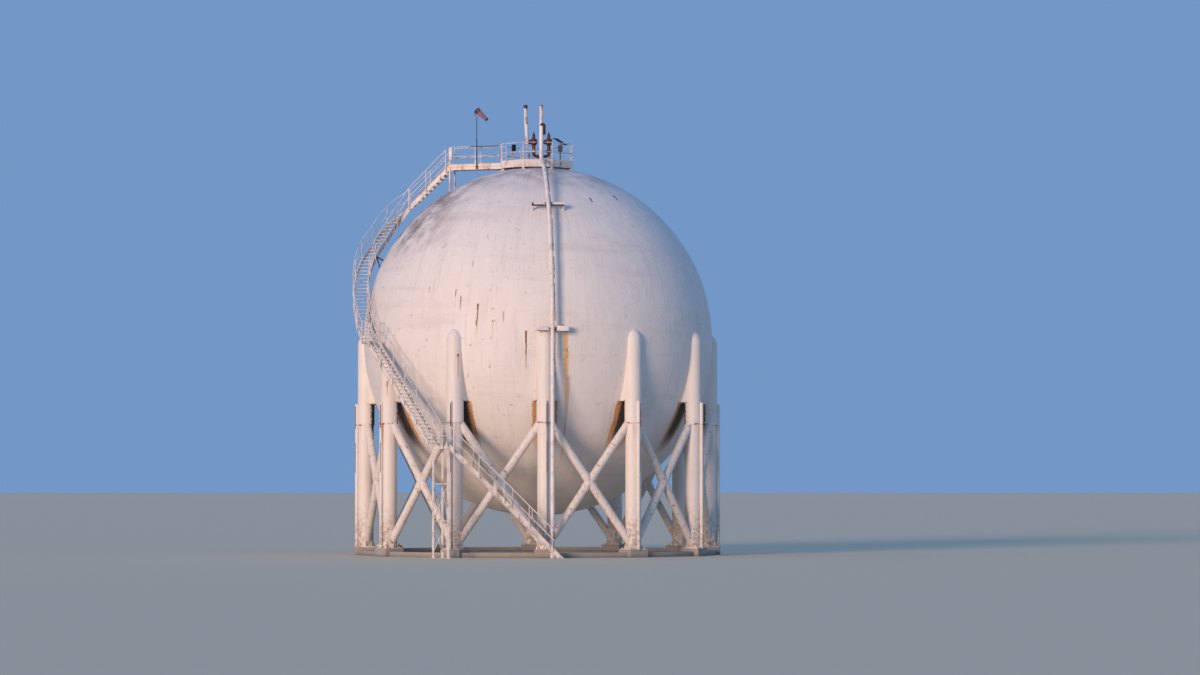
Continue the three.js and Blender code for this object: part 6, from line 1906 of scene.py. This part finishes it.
for face in shape.faces:
    turns = [math.atan2(loop.vert.co.y, loop.vert.co.x) for loop in face.loops]
    for loop, turn in zip(face.loops, turns):
        if max(turns) - min(turns) > math.pi and turn < 0:
            turn += 2 * math.pi
        loop[uv].uv = (turn * 0.15, loop.vert.co.z)
shape.transform(to_sock)
nylon, shader, place = new_material("faded_nylon")
cloth = put("ShaderNodeUVMap", {}, nylon.node_tree, uv_map="cloth")[0]
cloth_parts = split(cloth)
warp, weft = (put(
    "ShaderNodeTexWave", {"Vector": cloth, "Scale": 160.0, "Distortion": 0.4}, wave_type="BANDS",
    bands_direction=direction,
)["Fac"] for direction in "XY")
thread = warp * weft
fading = noise(cloth, 4.0, 5)
tone = blend(fading, (0.3, 0.155, 0.21), (0.48, 0.3, 0.37))
tone = blend(thread * 0.2, tone, (0.3, 0.12, 0.12))
# Near-black towards the tip
dark_tip = ease(cloth_parts["Y"] + fading * 0.06, 0.7, 0.76)
tone = blend(dark_tip, tone, (0.009, 0.008, 0.011))
# Painted shade: the cloth is darkened all round near the mouth
near_mouth = ease(cloth_parts["Y"] + fading * 0.05, 0.13, 0.08)
tone = blend(near_mouth * 0.9, tone, (0.035, 0.022, 0.028))
surface(shader, tone, 0.8, thread, 0.25, 0.001)
shader.inputs["Sheen Weight"].default_value = 0.3
sock_cloth = keep("wind_sock_cloth", shape, nylon, ["wind_sock"], "sock", 80)
wall = sock_cloth.modifiers.new("cloth_thickness", "SOLIDIFY")
wall.thickness = 0.0012
wall.offset = -1

# Hems of the sock: dark webbing sewn round both its ends, with short ties that lace its mouth to the
# frame's ring
hem_cloth, shader, place = new_material("hem_webbing")
tone = blend(noise(place, 60.0, 3), (0.02, 0.016, 0.018), (0.07, 0.045, 0.045))
surface(shader, tone, 0.9, noise(place, 300.0, 2), 0.4, 0.001)
shape = bmesh.new()
HEM = 0.026
for radius, along in (
    (MOUTH_RADIUS - 0.002, SOCK_START + 0.004), (TIP_RADIUS - 0.002, SOCK_START + SOCK_LENGTH - 0.03)
):
    bmesh.ops.create_cone(
        shape, cap_ends=False, segments=64, radius1=radius, radius2=radius - 0.003, depth=HEM,
        matrix=Matrix.Translation(up(along + HEM / 2)),
    )
bmesh.ops.recalc_face_normals(shape, faces=shape.faces)
for i in range(16):
    turn = math.radians(i * 22.5 + 8)
    outward = Vector((math.cos(turn), math.sin(turn), 0))
    rod(
        shape, outward * (MOUTH_RADIUS - 0.006) + up(SOCK_START + 0.016),
        outward * (MOUTH_RADIUS + 0.001) + up(-0.006), 0.0025, 6
    )
shape.transform(to_sock)
sock_hems = keep("wind_sock_hems", shape, hem_cloth, body="sock", crease=60)
wall = sock_hems.modifiers.new("webbing_thickness", "SOLIDIFY")
wall.thickness = 0.0015
wall.offset = 0
